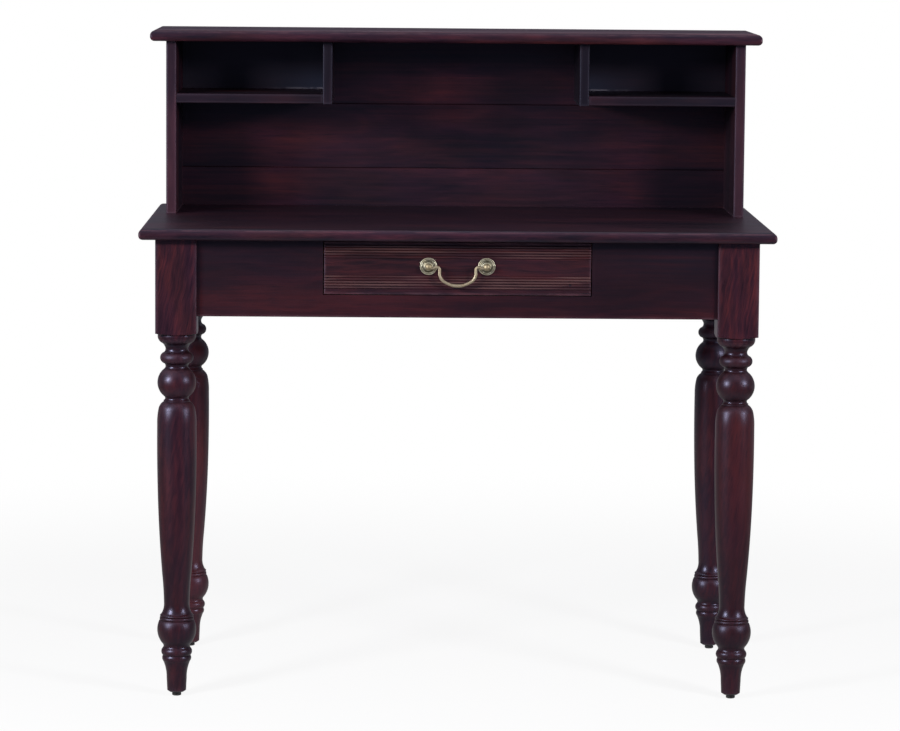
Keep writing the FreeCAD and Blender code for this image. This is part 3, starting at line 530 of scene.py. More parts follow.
def legAngles(shape):
    # finer at the corners of the square, so that its arrises stay round
    half = shape["square"] / 2
    edge = math.atan((half - shape["arris"]) / half)
    flat = np.linspace(-edge, edge, 2 * shape["flatAngles"] + 1)[:-1]
    corner = np.linspace(edge, math.pi / 2 - edge, shape["cornerAngles"] + 1)[:-1]
    quarter = np.concatenate([flat, corner])
    return (quarter[None, :] + np.arange(4)[:, None] * math.pi / 2).ravel()


def makeLeg(name, middle, shape):
    # a leg is the smaller of two radii in each direction and at each height: the lathe's outline, and a square
    # with rounded corners. A soft minimum with a small blend eases the line where they meet
    half = shape["square"] / 2
    tall = shape["blockBottom"]
    foot = (shape["toe"] / tall, shape["toeShare"])
    outline = outlinePoints(foot, shape["outline"], tall, half, shape["step"])
    rise = np.linspace(0, 1, shape["shoulderRows"] + 1)[1:]
    shoulder = np.stack([tall + shape["shoulderRise"] * rise, half + half * (math.sqrt(2) - 1) * rise], -1)
    clear = half * (math.sqrt(2) + shape["clear"])
    levels = np.linspace(tall + shape["shoulderRise"], shape["top"], shape["blockRows"])
    rows = np.concatenate([outline, shoulder, np.array([[z, clear] for z in levels])])
    heights, lathe = rows[:, 0], rows[:, 1]
    angle = legAngles(shape)
    square = squareReach(angle, half, shape["arris"])[None, :]
    k = shape["blend"]
    radius = -k * np.log(np.exp(-(square - half) / k) + np.exp(-(lathe[:, None] - half) / k)) + half
    points = ringGrid(heights, radius, angle, middle)
    turned, girth = heights <= tall, np.minimum(lathe, half)
    hollow = np.where(turned, hollowShare(heights, girth, shape["hollowReach"], shape["hollowDepth"]), 0)
    proud = np.where(turned, proudShare(heights, girth, shape["proudReach"], shape["proudDepth"]), 0)
    # proud rings and the block's arrises get the lighter rubbed colour, partly wear and partly a painted
    # highlight
    corner = np.clip((radius - half * shape["arrisFrom"]) / (half * shape["arrisSpan"]), 0, 1)
    layers = {"hollow": np.repeat(hollow, len(angle)),
              "rubbed": np.clip(np.repeat(proud, len(angle)) + corner.ravel(), 0, 1)}
    faces, caps = gridFaces(len(rows), len(angle)), endCaps(len(rows), len(angle))
    return putPiece(name, "desk", points, faces, caps, layers)


def nodeBox(name):
    low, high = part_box(name)
    return np.array(low) / mm, np.array(high) / mm


legDarkStops = {  # stops of height and share of darkening, from the toe up: on the front legs partly a thicker stain and partly painted shade, on the rear legs a painted shadow, which keeps the rear blocks dark
    "front_left": (
        (0.05, 0.25), (0.10, 0.50), (0.22, 0.48), (0.34, 0.14), (0.45, 0.14), (0.49, 0.26), (0.57, 0.22),
        (0.59, 0.0),
    ),
    "front_right": (
        (0.05, 0.58), (0.10, 0.80), (0.22, 0.62), (0.34, 0.32), (0.45, 0.32), (0.49, 0.62), (0.57, 0.55),
        (0.59, 0.0),
    ),
    "rear_left": ((0.40, 0.0), (0.46, 0.08), (0.57, 0.78)),
    "rear_right": ((0.05, 0.40), (0.24, 0.46), (0.38, 0.30), (0.45, 0.30), (0.50, 0.74), (0.57, 0.78)),
}
# front: the front legs' darkening, partly stain and partly painted shade; rear: the painted shadow on the rear
# legs
legStainAndShadowTints = {"front": (0.0112, 0.0026, 0.0036), "rear": (0.0060, 0.0034, 0.0075), "reach": 0.60,
             "byStreak": (0.35, 0.65, 1.15, 0.80)}
# lighter and redder low on the left rear leg
rearLeftLowRed = {"span": (0.20, 0.42, 0.32, 0.0), "colour": (0.085, 0.025, 0.028)}  # low on the left rear leg
# how red each leg is
legLift = {"front_left": 0.02, "front_right": 0.15, "rear_left": 0.12, "rear_right": 0.10}


def legStainAndShadow(place):
    # darker on the legs by height: on the front legs' lathe work a thicker stain that is partly painted shade,
    # on the rear legs a painted shadow of the apron; the share follows the height through a row of stops
    stops, reach = legDarkStops[place], legStainAndShadowTints["reach"]

    def tones(tree, seat, shade, streak):
        height = partsOf(tree, seat)[2]
        if place == "rear_left":
            shade = tinted(tree, shade, fade(tree, height, *rearLeftLowRed["span"]), rearLeftLowRed["colour"])
        ramp = addNode(tree, "ShaderNodeValToRGB", {0: calc(tree, "DIVIDE", height, reach)})
        marks = ramp.color_ramp.elements
        while len(marks) < len(stops):
            marks.new(1.0)
        for mark, (level, share) in zip(marks, stops):
            mark.position, mark.color = level / reach, colour(share, share, share)
        share = product(tree, ramp.outputs[0], fade(tree, streak, *legStainAndShadowTints["byStreak"]))
        return tinted(tree, shade, share, legStainAndShadowTints[place.split("_")[0]])
    return tones


for count, place in enumerate(legLift):
    node = "leg_" + place
    low, high = nodeBox(node)
    middle = (low + high) / 2
    piece = makeLeg("turned_" + node, middle, legShape)
    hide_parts(node)
    centre = np.array([middle[0], middle[1], legShape["grainMiddle"]]) * mm
    made = stainedWood("legWood" + str(count), "leg", "ZX", centre, grainSeed("leg", count), shaped=True,
                       extra=legStainAndShadow(place), lift=legLift[place])
    piece.data.materials.append(made)
print("legs turned")


# The brass pull
pullShape = {
    "rosetteRadius": 13.8, "rosetteHeight": 5.2, "hole": 2.05,
    "plateStep": 0.5, "plateAngles": 96, "plateHollow": (1.6, 1.1), "plateSharp": 40.0,
    "rosetteOutline": (
        ((0.16, 1.000),), ((0.42, 0.955), (0.26, 0.875)), ((0.20, 0.850),),
        ((0.40, 0.800), (0.30, 0.730)), ((0.25, 0.700),), ((0.36, 0.600), (0.80, 0.510)),
        ((0.97, 0.470), (1.00, 0.420)), ((1.00, 0.149),),
    ),
    "wire": 2.4, "grip": 0.42, "gripReach": 8.0, "routeStep": 0.6, "wireStep": 0.7, "wireAngles": 28,
    "pivotDrop": 2.3, "ball": 5.6, "armStraight": 1.5, "armRadius": 4.0, "neckInset": 10.4,
    "neckRise": 4.4, "neckRadius": 4.5, "kneeDrop": 17.8, "kneeRadius": 16.0, "gripDrop": 27.9, "gripHalf": 9.0,
    "gripRadius": 30.0,
}


def makeRosette(name, centre, shape):
    # a round plate turned about the Y axis: its half section closes on itself round the hole
    rows = outlinePoints((0, 1.0), shape["rosetteOutline"], shape["rosetteHeight"], shape["rosetteRadius"],
                         shape["plateStep"])
    rows = np.concatenate([rows, [[0.0, shape["hole"]]]])
    angle = np.linspace(0, 2 * math.pi, shape["plateAngles"], endpoint=False)
    upright = ringGrid(centre[1] - rows[:, 0], rows[:, 1][:, None], angle, (centre[0], centre[2]))
    points = upright[:, [0, 2, 1]]
    hollow = hollowShare(rows[:, 1], rows[:, 0], *shape["plateHollow"])
    hollow[-1] = 1.0
    layers = {"hollow": np.repeat(hollow, len(angle))}
    faces = gridFaces(len(rows), len(angle), True)
    return putPiece(name, "drawer", points, faces, (), layers, shape["plateSharp"])


def roundedPath(corners, radii, spacing):
    # straight runs and tangent arcs through a flat route: each corner gives its arc's centre on the bisector,
    # and the arc is swept evenly from one run to the next
    corners = np.array(corners, float)
    run = [corners[:1]]
    for before, here, after, radius in zip(corners[:-2], corners[1:-1], corners[2:], radii):
        toward = (before - here) / np.linalg.norm(before - here)
        away = (after - here) / np.linalg.norm(after - here)
        half = math.acos(np.clip(toward @ away, -1, 1)) / 2
        bisector = (toward + away) / np.linalg.norm(toward + away)
        centre = here + bisector * radius / math.sin(half)
        first = here + toward * radius / math.tan(half) - centre
        last = here + away * radius / math.tan(half) - centre
        turn = math.pi - 2 * half
        count = max(3, math.ceil(turn * radius / spacing))
        share = np.linspace(0, 1, count + 1)[:, None]
        arc = (np.sin((1 - share) * turn) * first + np.sin(share * turn) * last) / math.sin(turn)
        run.append(centre + arc)
    run.append(corners[-1:])
    return np.concatenate(run)


def makeBail(name, pivot, postX, shape):
    # a wire round a flat route in the plane of the posts: its radius swells towards the middle of the grip as
    # a bell curve of the fourth power, and the rings stand square to the route
    tip = postX + math.sqrt(shape["ball"] ** 2 - shape["pivotDrop"] ** 2)
    arm = postX - shape["ball"] - shape["armStraight"]
    neck = arm - shape["neckInset"]
    right = [(tip, 0, 0), (arm, 0, shape["armRadius"]), (neck, shape["neckRise"], shape["neckRadius"]),
             (neck, -shape["kneeDrop"], shape["kneeRadius"]),
             (shape["gripHalf"], -shape["gripDrop"], shape["gripRadius"])]
    places = right + [(-x, z, r) for x, z, r in reversed(right)]
    route = roundedPath([p[:2] for p in places], [p[2] for p in places[1:-1]], shape["routeStep"])
    steps = np.linalg.norm(np.diff(route, axis=0), axis=1)
    length = np.concatenate([[0], np.cumsum(steps)])
    even = np.linspace(0, length[-1], int(length[-1] / shape["wireStep"]))
    line = np.stack([np.interp(even, length, route[:, k]) for k in range(2)], -1)
    tangent = np.gradient(line, axis=0)
    tangent /= np.linalg.norm(tangent, axis=1)[:, None]
    radius = shape["wire"] + shape["grip"] * np.exp(-(line[:, 0] / shape["gripReach"]) ** 4)
    angle = np.linspace(0, 2 * math.pi, shape["wireAngles"], endpoint=False)
    side = np.stack([-tangent[:, 1], np.zeros(len(line)), tangent[:, 0]], -1)
    middle = np.stack([pivot[0] + line[:, 0], np.full(len(line), pivot[1]), pivot[2] + line[:, 1]], -1)
    ring = (side[:, None, :] * np.cos(angle)[None, :, None]
            + np.array([0, 1, 0]) * np.sin(angle)[None, :, None]) * radius[:, None, None]
    points = (middle[:, None, :] + ring).reshape(-1, 3)
    layers = {"hollow": np.zeros(len(points))}
    faces, caps = gridFaces(len(line), len(angle)), endCaps(len(line), len(angle))
    return putPiece(name, "bail", points, faces, caps, layers)


brassLooks = {
    "plate": {"clean": (0.60, 0.575, 0.46), "aged": (0.42, 0.34, 0.18), "dark": (0.070, 0.062, 0.040),
              "rough": 0.42, "pit": 0.00004},
    "ball": {"clean": (0.44, 0.375, 0.255), "aged": (0.32, 0.25, 0.13), "dark": (0.070, 0.055, 0.035),
             "rough": 0.50, "pit": 0.00003},
    "wire": {"clean": (0.43, 0.368, 0.27), "aged": (0.37, 0.29, 0.17), "dark": (0.070, 0.055, 0.035),
             "rough": 0.52, "pit": 0.00003},
}
brassFigure = {
    "patch": (160.0, 4.0, 0.6), "speck": (900.0, 2.0), "tarnish": (0.42, 0.72, 0.0, 0.55),
    "groove": (0.15, 0.95), "wax": (0.6, 0.5), "patchGloss": 0.22, "pitStrength": 0.35,
}


def agedBrass(name, look, shaped=True):
    # polished high spots, brown tarnish in patches and dark wax left in the turned grooves
    material, tree, shader = newMaterial(name)
    seat, figure = objectSeat(tree), brassFigure
    patch = noise(tree, seat, *figure["patch"])
    shade = tinted(tree, colour(*look["clean"]), fade(tree, patch, *figure["tarnish"]), look["aged"])
    if shaped:
        groove = fade(tree, meshLayer(tree, "hollow"), *figure["groove"])
        wax = calc(tree, "MULTIPLY_ADD", patch, *figure["wax"])
        shade = tinted(tree, shade, calc(tree, "MULTIPLY", groove, wax, clamp=True), look["dark"])
    gloss = calc(tree, "MULTIPLY_ADD", patch, figure["patchGloss"], look["rough"])
    pits = bumped(tree, noise(tree, seat, *figure["speck"]), figure["pitStrength"], look["pit"])
    linkFinish(tree, shader, shade, gloss, pits)
    shader.inputs["Metallic"].default_value = 1.0
    return material


plateBrass = agedBrass("plateBrass", brassLooks["plate"])
wireBrass = agedBrass("wireBrass", brassLooks["wire"])
ballBrass = agedBrass("ballBrass", brassLooks["ball"], shaped=False)
for side in ("left", "right"):
    node = "pull_rosette_" + side
    low, high = nodeBox(node)
    middle = (low + high) / 2
    piece = makeRosette("ringed_" + node, (middle[0], high[1], middle[2]), pullShape)
    piece.data.materials.append(plateBrass)
    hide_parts(node)
postLow, postHigh = nodeBox("pull_post_right")
postX = (postLow[0] + postHigh[0]) / 2
pivotY = postLow[1] + pullShape["ball"]
pivotZ = (postLow[2] + postHigh[2]) / 2 - pullShape["pivotDrop"]
piece = makeBail("bail_wire", (0, pivotY, pivotZ), postX, pullShape)
piece.data.materials.append(wireBrass)
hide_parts("pull_bail")
print("pull cast")


# The glides under the toes
glideShape = {
    "radius": 7.4, "height": 6.0, "start": (0, 0.80), "step": 0.4, "angles": 64,
    "outline": (((0.06, 0.90), (0.22, 1.00)), ((0.62, 1.00),), ((0.70, 0.93), (0.78, 1.00)), ((0.94, 0.99),),
                ((1.00, 0.95),)),
}


def makeGlide(name, middle, shape):
    # a round plastic foot turned about the Z axis, with a groove under its upper lip
    rows = outlinePoints(shape["start"], shape["outline"], shape["height"], shape["radius"], shape["step"])
    angle = np.linspace(0, 2 * math.pi, shape["angles"], endpoint=False)
    points = ringGrid(rows[:, 0], rows[:, 1][:, None], angle, middle)
    faces, caps = gridFaces(len(rows), len(angle)), endCaps(len(rows), len(angle))
    return putPiece(name, "desk", points, faces, caps)


plainLooks = {  # finishes of two colours in a cloud, with a gloss that follows it
    "plastic": {"first": (0.006, 0.006, 0.007), "second": (0.022, 0.020, 0.021), "cloud": (220.0, 3.0),
                "gloss": (0.25, 0.42), "metal": 0.0, "grain": (2600.0, 1.0), "bump": (0.4, 0.00004)},
    "steel": {"first": (0.42, 0.43, 0.45), "second": (0.60, 0.59, 0.55), "cloud": (420.0, 3.0),
              "gloss": (0.3, 0.22), "metal": 1.0},
}


def plainFinish(name, look):
    material, tree, shader = newMaterial(name)
    seat = objectSeat(tree)
    cloud = noise(tree, seat, *look["cloud"])
    shade = tinted(tree, colour(*look["first"]), cloud, look["second"])
    grain = bumped(tree, noise(tree, seat, *look["grain"]), *look["bump"]) if "grain" in look else None
    linkFinish(tree, shader, shade, calc(tree, "MULTIPLY_ADD", cloud, *look["gloss"]), grain)
    shader.inputs["Metallic"].default_value = look["metal"]
    return material


glidePlastic = plainFinish("glidePlastic", plainLooks["plastic"])
for place in ("front_left", "front_right", "rear_left", "rear_right"):
    node = "foot_glide_" + place
    low, high = nodeBox(node)
    piece = makeGlide("round_" + node, (low + high) / 2, glideShape)
    piece.data.materials.append(glidePlastic)
    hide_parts(node)
print("glides set")


# Finishes of the boards that keep their own meshes: the look, the grain and the width of a glued strip
boardPlan = {
    "desk_top": ("top", "XY", 0.112), "hutch_top": ("top", "XY", 0.096),
    "front_apron": ("apron", "XZ", 0), "rear_apron": ("apron", "XZ", 0),
    "left_apron": ("apron", "YZ", 0), "right_apron": ("apron", "YZ", 0),
    "hutch_side_left": ("hutch", "ZY", 0.112), "hutch_side_right": ("hutch", "ZY", 0.112),
    "hutch_back_lower": ("hutch", "XZ", 0), "hutch_back_middle": ("hutch", "XZ", 0),
    "hutch_back_upper": ("hutch", "XZ", 0),
    "cubby_shelf_left": ("cubby", "XY", 0.100), "cubby_shelf_right": ("cubby", "XY", 0.100),
    "cubby_divider_left": ("cubby", "ZY", 0.100), "cubby_divider_right": ("cubby", "ZY", 0.100),
    "drawer_front": ("drawerFront", "XZ", 0),
}
# Stains and wear, in metres. A span holds where a fade starts and ends and its values there
reedWear = {
    "crest": (-0.2471, -0.24655, 1.0, 0.0), "bands": ((0.6660, 0.6880, 1.0), (0.7148, 0.7368, 0.7)),
    "patch": ((9.0, 160.0), 3.0), "span": (0.40, 0.66, 0.10, 0.85), "colour": (0.095, 0.048, 0.043),
}
knotPlace = {"oval": (0.180, 0.674, 0.0032, 0.0032), "share": 0.85}  # a pin knot between the reeds
stilePlace = {
    "front": (0.0572, 0.0592, 1.0, 0.0), "low": (0.90, 0.98, 0.60, 0.10), "rightShare": 0.45,
    "patch": ((60.0, 60.0, 14.0), 3.0), "span": (0.34, 0.66, 0.55, 1.0), "colour": (0.080, 0.026, 0.036),
    "darkLeft": 0.15, "darkRight": 0.50, "dark": (0.0100, 0.0064, 0.0110),
}
deskFace = {"rise": (0.7608, 0.7618, 0.0, 0.42), "colour": (0.0052, 0.0024, 0.0050)}
# lighter streaks on the hutch top's upper face: partly rubbed, partly a painted highlight near the front
topRubAndHighlight = {
    "rise": (1.0655, 1.0668), "depth": (0.035, 0.150, 1.0, 0.12), "patch": ((6.0, 55.0), 3.0),
    "span": (0.38, 0.66, 0.25, 1.0), "colour": (0.180, 0.075, 0.095),
}
# painted shade on the back inside the cubbies, a painted bluish reflection beside the dividers and a painted
# highlight line just above the shelf
cubbyShadeAndGlint = {
    "face": (0.2615, 0.2635, 1.0, 0.0), "outer": (0.206, 0.222, 0.0, 0.75), "colour": (0.0130, 0.0128, 0.0195),
    "beside": (0.222, 0.330, 1.0, 0.0), "low": (0.968, 1.012, 0.75, 0.0), "blue": (0.0170, 0.0230, 0.0420),
    "line": (0.9640, 0.9660, 1.0, 0.0), "gaps": (60.0, 2.0), "gapSpan": (0.40, 0.60, 0.1, 0.9),
    "polish": (0.130, 0.120, 0.150),
}
mattFace = {"hutch_top": (1.0655, 1.0668, 0.90)}  # dust dulls what nobody wipes
boardLift = {"cubby_divider_left": -0.34, "cubby_divider_right": -0.38, "cubby_shelf_right": -0.28}
heartAndShadowOvals = {  # dark heartwood in a back board, a dark patch in the apron, and painted shadow on the back boards under the left shelf and beside the hutch's sides: x, z, half width and half height of ovals
    "ovals": (
        # the first oval is heartwood, the next four are painted shadow, the last is a dark patch in the apron
        (0.217, 0.885, 0.062, 0.019), (-0.275, 0.930, 0.170, 0.034), (-0.405, 0.790, 0.115, 0.070),
        (0.405, 0.790, 0.125, 0.066), (-0.420, 0.858, 0.100, 0.026), (0.360, 0.716, 0.190, 0.040),
    ),
    "byStreak": (0.30, 0.62, 0.85, 0.35),
}
ovalSpan = (0.35, 1.0, 1.0, 0.0)
# the lighter rubbed colour on the upper edges of a top is partly wear and partly a painted highlight
topWearDrop = 0.05  # the lower edges of a top count as so much lower, so that only the upper ones are rubbed


def roundSpot(tree, parts, x, z, wide, tall):
    # one in the middle of an oval on the front of a board, fading to nought at its rim
    side = calc(tree, "DIVIDE", calc(tree, "SUBTRACT", parts[0], x), wide)
    rise = calc(tree, "DIVIDE", calc(tree, "SUBTRACT", parts[2], z), tall)
    return fade(tree, distance(tree, side, rise), *ovalSpan)


def rubReeds(tree, seat, shade, streak):
    # the crests of the reeds are rubbed back to golden brown, more in some places than in others
    parts = partsOf(tree, seat)
    bands = []
    for low, high, weight in reedWear["bands"]:
        above, below = calc(tree, "GREATER_THAN", parts[2], low), calc(tree, "LESS_THAN", parts[2], high)
        bands.append(product(tree, above, below, weight))
    patch = fade(tree, figured(tree, seat, *reedWear["patch"]), *reedWear["span"])
    crest = fade(tree, parts[1], *reedWear["crest"])
    shade = tinted(tree, shade, product(tree, crest, calc(tree, "MAXIMUM", *bands), patch), reedWear["colour"])
    knot = roundSpot(tree, parts, *knotPlace["oval"])
    return tinted(tree, shade, product(tree, knot, knotPlace["share"]), woodFigure["hollowColour"])


def heartwoodAndShadow(tree, seat, shade, streak):
    # dark heartwood here and there, and painted shadow where the left shelf and the hutch's sides shade the
    # back, ragged along the grain
    parts = partsOf(tree, seat)
    spot = 0.0
    for oval in heartAndShadowOvals["ovals"]:
        spot = calc(tree, "MAXIMUM", spot, roundSpot(tree, parts, *oval))
    ragged = product(tree, spot, fade(tree, streak, *heartAndShadowOvals["byStreak"]))
    return tinted(tree, shade, ragged, woodLooks["hutch"]["stain"][0])


def rubbedAndLitTop(tree, seat, shade, streak):
    # the upper face of the hutch's top is lighter in streaks along the grain, most of all near its front:
    # partly rubbed, partly a painted highlight along the front
    parts = partsOf(tree, seat)
    patch = fade(tree, figured(tree, seat, *topRubAndHighlight["patch"]), *topRubAndHighlight["span"])
    front = fade(tree, parts[1], *topRubAndHighlight["depth"])
    share = product(tree, fade(tree, parts[2], *topRubAndHighlight["rise"]), front, patch)
    return tinted(tree, shade, share, topRubAndHighlight["colour"])


def darkFace(tree, seat, shade, streak):
    # the upper face of the desk top is darker than its edges
    return tinted(tree, shade, fade(tree, partsOf(tree, seat)[2], *deskFace["rise"]), deskFace["colour"])


def rubbedStile(tree, seat, shade, streak):
    # the front edges of the hutch's sides are darker, the right one more, and are rubbed in the lower half
    parts = partsOf(tree, seat)
    front = fade(tree, parts[1], *stilePlace["front"])
    right = calc(tree, "GREATER_THAN", parts[0], 0.0)
    darker = stilePlace["darkRight"] - stilePlace["darkLeft"]
    kept = calc(tree, "MULTIPLY_ADD", right, darker, stilePlace["darkLeft"])
    shade = tinted(tree, shade, product(tree, front, kept), stilePlace["dark"])
    patch = fade(tree, figured(tree, seat, *stilePlace["patch"]), *stilePlace["span"])
    patch = product(tree, patch, calc(tree, "MULTIPLY_ADD", right, stilePlace["rightShare"] - 1.0, 1.0))
    share = product(tree, front, fade(tree, parts[2], *stilePlace["low"]), patch)
    return tinted(tree, shade, share, stilePlace["colour"])


def paintedCubbyShade(tree, seat, shade, streak):
    # behind the cubbies the back is darker as painted shade, with a painted bluish reflection beside the
    # dividers and a painted highlight line just above the shelf
    parts = partsOf(tree, seat)
    outward = calc(tree, "ABSOLUTE", parts[0])
    outer = product(tree, fade(tree, outward, *cubbyShadeAndGlint["outer"]), fade(tree, parts[1], *cubbyShadeAndGlint["face"]))
    shade = tinted(tree, shade, outer, cubbyShadeAndGlint["colour"])
    beside = product(tree, fade(tree, outward, *cubbyShadeAndGlint["beside"]), outer)
    low = fade(tree, parts[2], *cubbyShadeAndGlint["low"])
    shade = tinted(tree, shade, product(tree, beside, low), cubbyShadeAndGlint["blue"])
    line = fade(tree, parts[2], *cubbyShadeAndGlint["line"])
    line = product(tree, line, fade(tree, noise(tree, seat, *cubbyShadeAndGlint["gaps"]), *cubbyShadeAndGlint["gapSpan"]))
    return tinted(tree, shade, product(tree, beside, line), cubbyShadeAndGlint["polish"])


def dress(node, material):
    piece = nodes[node]
    piece.data.materials.clear()
    piece.data.materials.append(material)


boardExtras = {
    "drawer_front": rubReeds, "front_apron": heartwoodAndShadow, "hutch_back_lower": heartwoodAndShadow,
    "hutch_back_middle": heartwoodAndShadow, "hutch_back_upper": paintedCubbyShade, "hutch_top": rubbedAndLitTop, "desk_top": darkFace,
    "hutch_side_left": rubbedStile, "hutch_side_right": rubbedStile,
}
slotOf = {row["node"]: row["material_slot"] for row in frame["record"]["subparts"]}
for count, (node, (look, grain, stave)) in enumerate(boardPlan.items()):
    low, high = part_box(node)
    edges = None if "back" in node else (low, high)
    if look == "top":
        edges = (low - Vector((0, 0, topWearDrop)), high)
    made = stainedWood(node + "Wood", look, grain, (low + high) / 2, grainSeed("board", count), stave, edges,
                       extra=boardExtras.get(node), lift=boardLift.get(node, 0.0), matt=mattFace.get(node))
    dress(node, made)
print("boards stained")


# Finishes of what lies inside
bareLooks = {
    "inner_wood": {"dark": (0.120, 0.062, 0.030), "light": (0.270, 0.150, 0.078), "rough": 0.62},
    "dowel_wood": {"dark": (0.330, 0.200, 0.098), "light": (0.520, 0.350, 0.190), "rough": 0.60},
}
bareFigure = {
    "streak": ((2.4, 70.0), 5.0, 0.62), "fibre": ((20.0, 700.0), 3.0, 0.6), "cloud": ((3.0, 9.0), 2.0),
    "streakShare": 1.6, "fibreShare": 0.7, "cloudShare": 0.6, "fibreGloss": 0.2, "bump": (0.6, 0.00010),
}


def bareWood(name, look, grain, centre, seed):
    # unpolished wood: streaks and fibres along the grain, and a dry surface
    material, tree, shader = newMaterial(name)
    figure = bareFigure
    shifted = boardSpace(tree, grain, centre, seed, 0)[1]
    streak, fibre, cloud = (figured(tree, shifted, *figure[part]) for part in ("streak", "fibre", "cloud"))
    tone = leaned(tree, 0.5, streak, figure["streakShare"])
    tone = leaned(tree, tone, fibre, figure["fibreShare"])
    tone = leaned(tree, tone, cloud, figure["cloudShare"], clamp=True)
    shade = tinted(tree, colour(*look["dark"]), tone, look["light"])
    gloss = leaned(tree, look["rough"], fibre, figure["fibreGloss"])
    linkFinish(tree, shader, shade, gloss, bumped(tree, fibre, *figure["bump"]))
    return material


innerGrain = {
    "drawer_runner_left": "YX", "drawer_runner_right": "YX", "drawer_guide_left": "YZ",
    "drawer_guide_right": "YZ", "drawer_kicker_left": "YX", "drawer_kicker_right": "YX",
    "drawer_side_left": "YZ", "drawer_side_right": "YZ", "drawer_back": "XZ", "drawer_bottom": "YX",
    "drawer_stops": "YX", "corner_block_front_left": "ZX", "corner_block_front_right": "ZX",
    "corner_block_rear_left": "ZX", "corner_block_rear_right": "ZX", "hutch_dowels": "ZX",
}
for count, (node, grain) in enumerate(innerGrain.items()):
    low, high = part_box(node)
    look = bareLooks[slotOf[node]]
    dress(node, bareWood(node + "Wood", look, grain, (low + high) / 2, grainSeed("inner", count)))
steel = plainFinish("zincSteel", plainLooks["steel"])
for node in ("desk_top_screws", "kicker_screws", "drawer_bottom_pins", "hutch_foot_screws"):
    dress(node, steel)
for node in ("pull_post_left", "pull_post_right", "pull_nuts"):
    dress(node, ballBrass)
print("inside finished")


# Stage: a pale floor that fades into a white surround, two tall soft lamps and a low fill from all round
stageSetup = {  # a span holds where a fade starts and ends and its values there
    "floorRadius": 2.6, "floorCorners": 128, "floorRough": 0.9, "floorSpecular": 0.1,
    "floorColour": (0.93, 0.93, 0.94), "bounce": (0.50, 0.48, 0.52), "glow": (0.7, 2.5, 0.88, 1.0),
    "nearShine": (0.8, 1.8, 0.42, 0.12), "rearShine": (0.3, 1.3, 0.0, 0.25),
    "fillLow": (0.09, 0.09, 0.11), "fillHigh": (0.07, 0.07, 0.10), "fillSpan": (0.0, 0.8),
    "fillRear": (1.60, 1.60, 1.66), "rearSpan": (0.15, 0.75), "rearRise": (0.25, 0.60, 1.0, 0.0),
    "shineAround": (0.185, 0.175, 0.215), "shineAbove": (0.85, 0.85, 0.95), "aboveSpan": (0.45, 0.95),
    "horizon": (-0.05, 0.10, 0.15, 0.0), "horizonRear": (-0.3, 0.3),
}
lampSetup = (  # two lamps light the surfaces, and two soft panels farther out show in the polish
    {"name": "keyLeft", "at": (-1.74, -1.94, 1.52), "size": (0.45, 0.30), "power": 50.0, "shines": False},
    {"name": "keyRight", "at": (1.74, -1.94, 1.52), "size": (0.45, 0.30), "power": 50.0, "shines": False},
    {"name": "panelLeft", "at": (-2.80, -1.97, 1.64), "size": (0.75, 0.95), "power": 138.0, "shines": True},
    {"name": "panelRight", "at": (2.80, -1.97, 1.64), "size": (0.75, 0.95), "power": 72.0, "shines": True},
)
lampTarget = Vector((0, 0, 0.6))


def makeLamps(lamps, target):
    for lamp in lamps:
        data = bpy.data.lights.new(lamp["name"], "AREA")
        data.shape = "RECTANGLE"
        data.size, data.size_y = lamp["size"]
        data.energy = lamp["power"]
        made = bpy.data.objects.new(lamp["name"], data)
        made.visible_glossy = lamp["shines"]
        made.visible_diffuse = not lamp["shines"]
        place = Vector(lamp["at"])
        facing = (place - target).to_track_quat("Z", "Y").to_matrix().to_4x4()
        made.matrix_world = Matrix.Translation(place) @ facing
        bpy.context.scene.collection.objects.link(made)


def rayKinds(tree):
    # sockets that are one for the camera, for glossy and transmitted rays, and for diffuse rays
    path = addNode(tree, "ShaderNodeLightPath").outputs
    mirrored = calc(tree, "MAXIMUM", path["Is Glossy Ray"], path["Is Transmission Ray"])
    return path["Is Camera Ray"], mirrored, path["Is Diffuse Ray"]


def makeWorld(setup):
    # the camera sees white, polish a dim room with a pale ceiling, and the surfaces a low fill that is far
    # stronger behind the table
    world = bpy.data.worlds.new("surround")
    bpy.context.scene.world = world
    world.use_nodes = True
    tree = world.node_tree
    tree.nodes.clear()
    sides = partsOf(tree, addNode(tree, "ShaderNodeTexCoord").outputs["Generated"])
    straight, mirrored, spread = rayKinds(tree)
    above = fade(tree, sides[2], *setup["aboveSpan"])
    shine = tinted(tree, colour(*setup["shineAround"]), above, setup["shineAbove"])
    fill = tinted(tree, colour(*setup["fillLow"]), fade(tree, sides[2], *setup["fillSpan"]), setup["fillHigh"])
    behind = product(tree, fade(tree, sides[1], *setup["rearSpan"]), fade(tree, sides[2], *setup["rearRise"]))
    light = blendColours(tree, mirrored, tinted(tree, fill, behind, setup["fillRear"]), shine)
    soft = addNode(tree, "ShaderNodeBackground", {"Color": light, "Strength": 1.0})
    white = addNode(tree, "ShaderNodeBackground", {"Color": colour(1, 1, 1), "Strength": 1.0})
    low = product(tree, fade(tree, sides[2], *setup["horizon"]), fade(tree, sides[1], *setup["horizonRear"]))
    seen = calc(tree, "MAXIMUM", straight, product(tree, mirrored, low))
    mixed = addNode(tree, "ShaderNodeMixShader", {0: seen, 1: soft.outputs[0], 2: white.outputs[0]})
    addNode(tree, "ShaderNodeOutputWorld", {"Surface": mixed.outputs[0]})


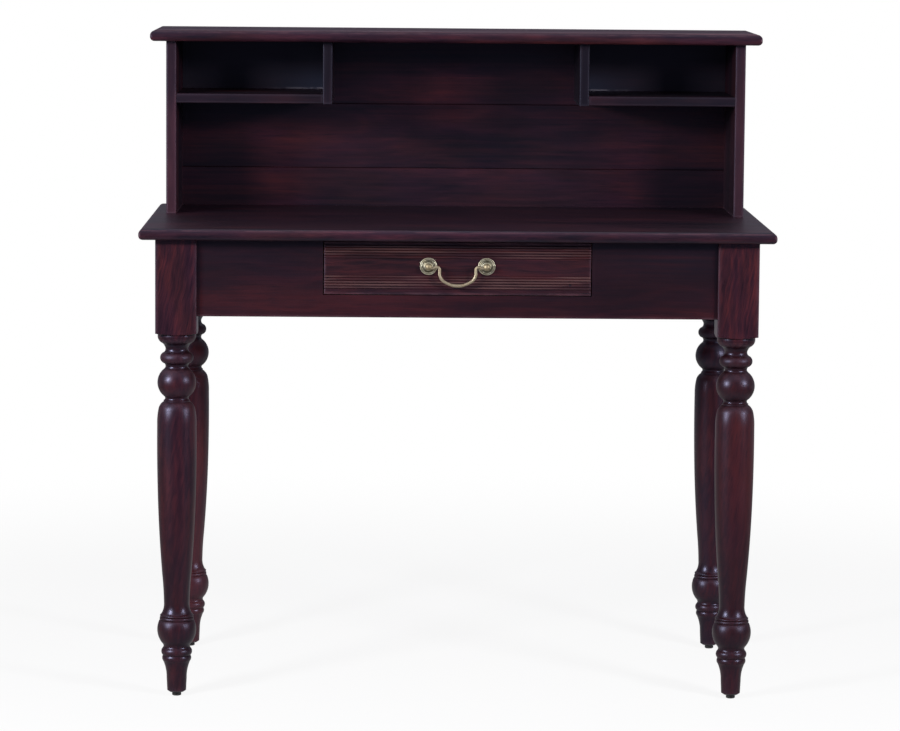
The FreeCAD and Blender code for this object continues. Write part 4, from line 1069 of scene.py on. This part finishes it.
def makeFloor(setup):
    # paper that lights the table from below, fades to white for the camera and is clear from underneath
    corners = setup["floorCorners"]
    angle = np.linspace(0, 2 * math.pi, corners, endpoint=False)
    rim = np.stack([np.cos(angle), np.sin(angle), np.zeros(corners)], -1) * setup["floorRadius"]
    mesh = bpy.data.meshes.new("floor")
    mesh.from_pydata(rim.tolist(), [], [list(range(corners))])
    floor = bpy.data.objects.new("floor", mesh)
    bpy.context.scene.collection.objects.link(floor)
    material, tree, shader = newMaterial("floorPaper")
    straight, mirrored, spread = rayKinds(tree)
    paper = tinted(tree, colour(*setup["floorColour"]), spread, setup["bounce"])
    tree.links.new(paper, shader.inputs["Base Color"])
    shader.inputs["Roughness"].default_value = setup["floorRough"]
    shader.inputs["Specular IOR Level"].default_value = setup["floorSpecular"]
    seat = objectSeat(tree)
    far = addNode(tree, "ShaderNodeVectorMath", {0: seat}, operation="LENGTH").outputs["Value"]
    glow = fade(tree, far, *setup["glow"])
    rearShine = fade(tree, partsOf(tree, seat)[1], *setup["rearShine"])
    shine = calc(tree, "MAXIMUM", fade(tree, far, *setup["nearShine"]), rearShine)
    seen = calc(tree, "MAXIMUM", product(tree, straight, glow), mirrored)
    strength = calc(tree, "MULTIPLY_ADD", mirrored, calc(tree, "SUBTRACT", shine, 1.0), 1.0)
    white = addNode(tree, "ShaderNodeEmission", {"Color": colour(1, 1, 1), "Strength": strength})
    mixed = addNode(tree, "ShaderNodeMixShader", {0: seen, 1: shader.outputs[0], 2: white.outputs[0]})
    under = addNode(tree, "ShaderNodeNewGeometry").outputs["Backfacing"]
    clear = addNode(tree, "ShaderNodeBsdfTransparent")
    mixed = addNode(tree, "ShaderNodeMixShader", {0: product(tree, under, straight), 1: mixed.outputs[0],
                                                  2: clear.outputs[0]})
    output = next(n for n in tree.nodes if n.type == "OUTPUT_MATERIAL")
    tree.links.new(mixed.outputs[0], output.inputs["Surface"])
    mesh.materials.append(material)


makeWorld(stageSetup)
makeFloor(stageSetup)
makeLamps(lampSetup, lampTarget)
print("stage lit")
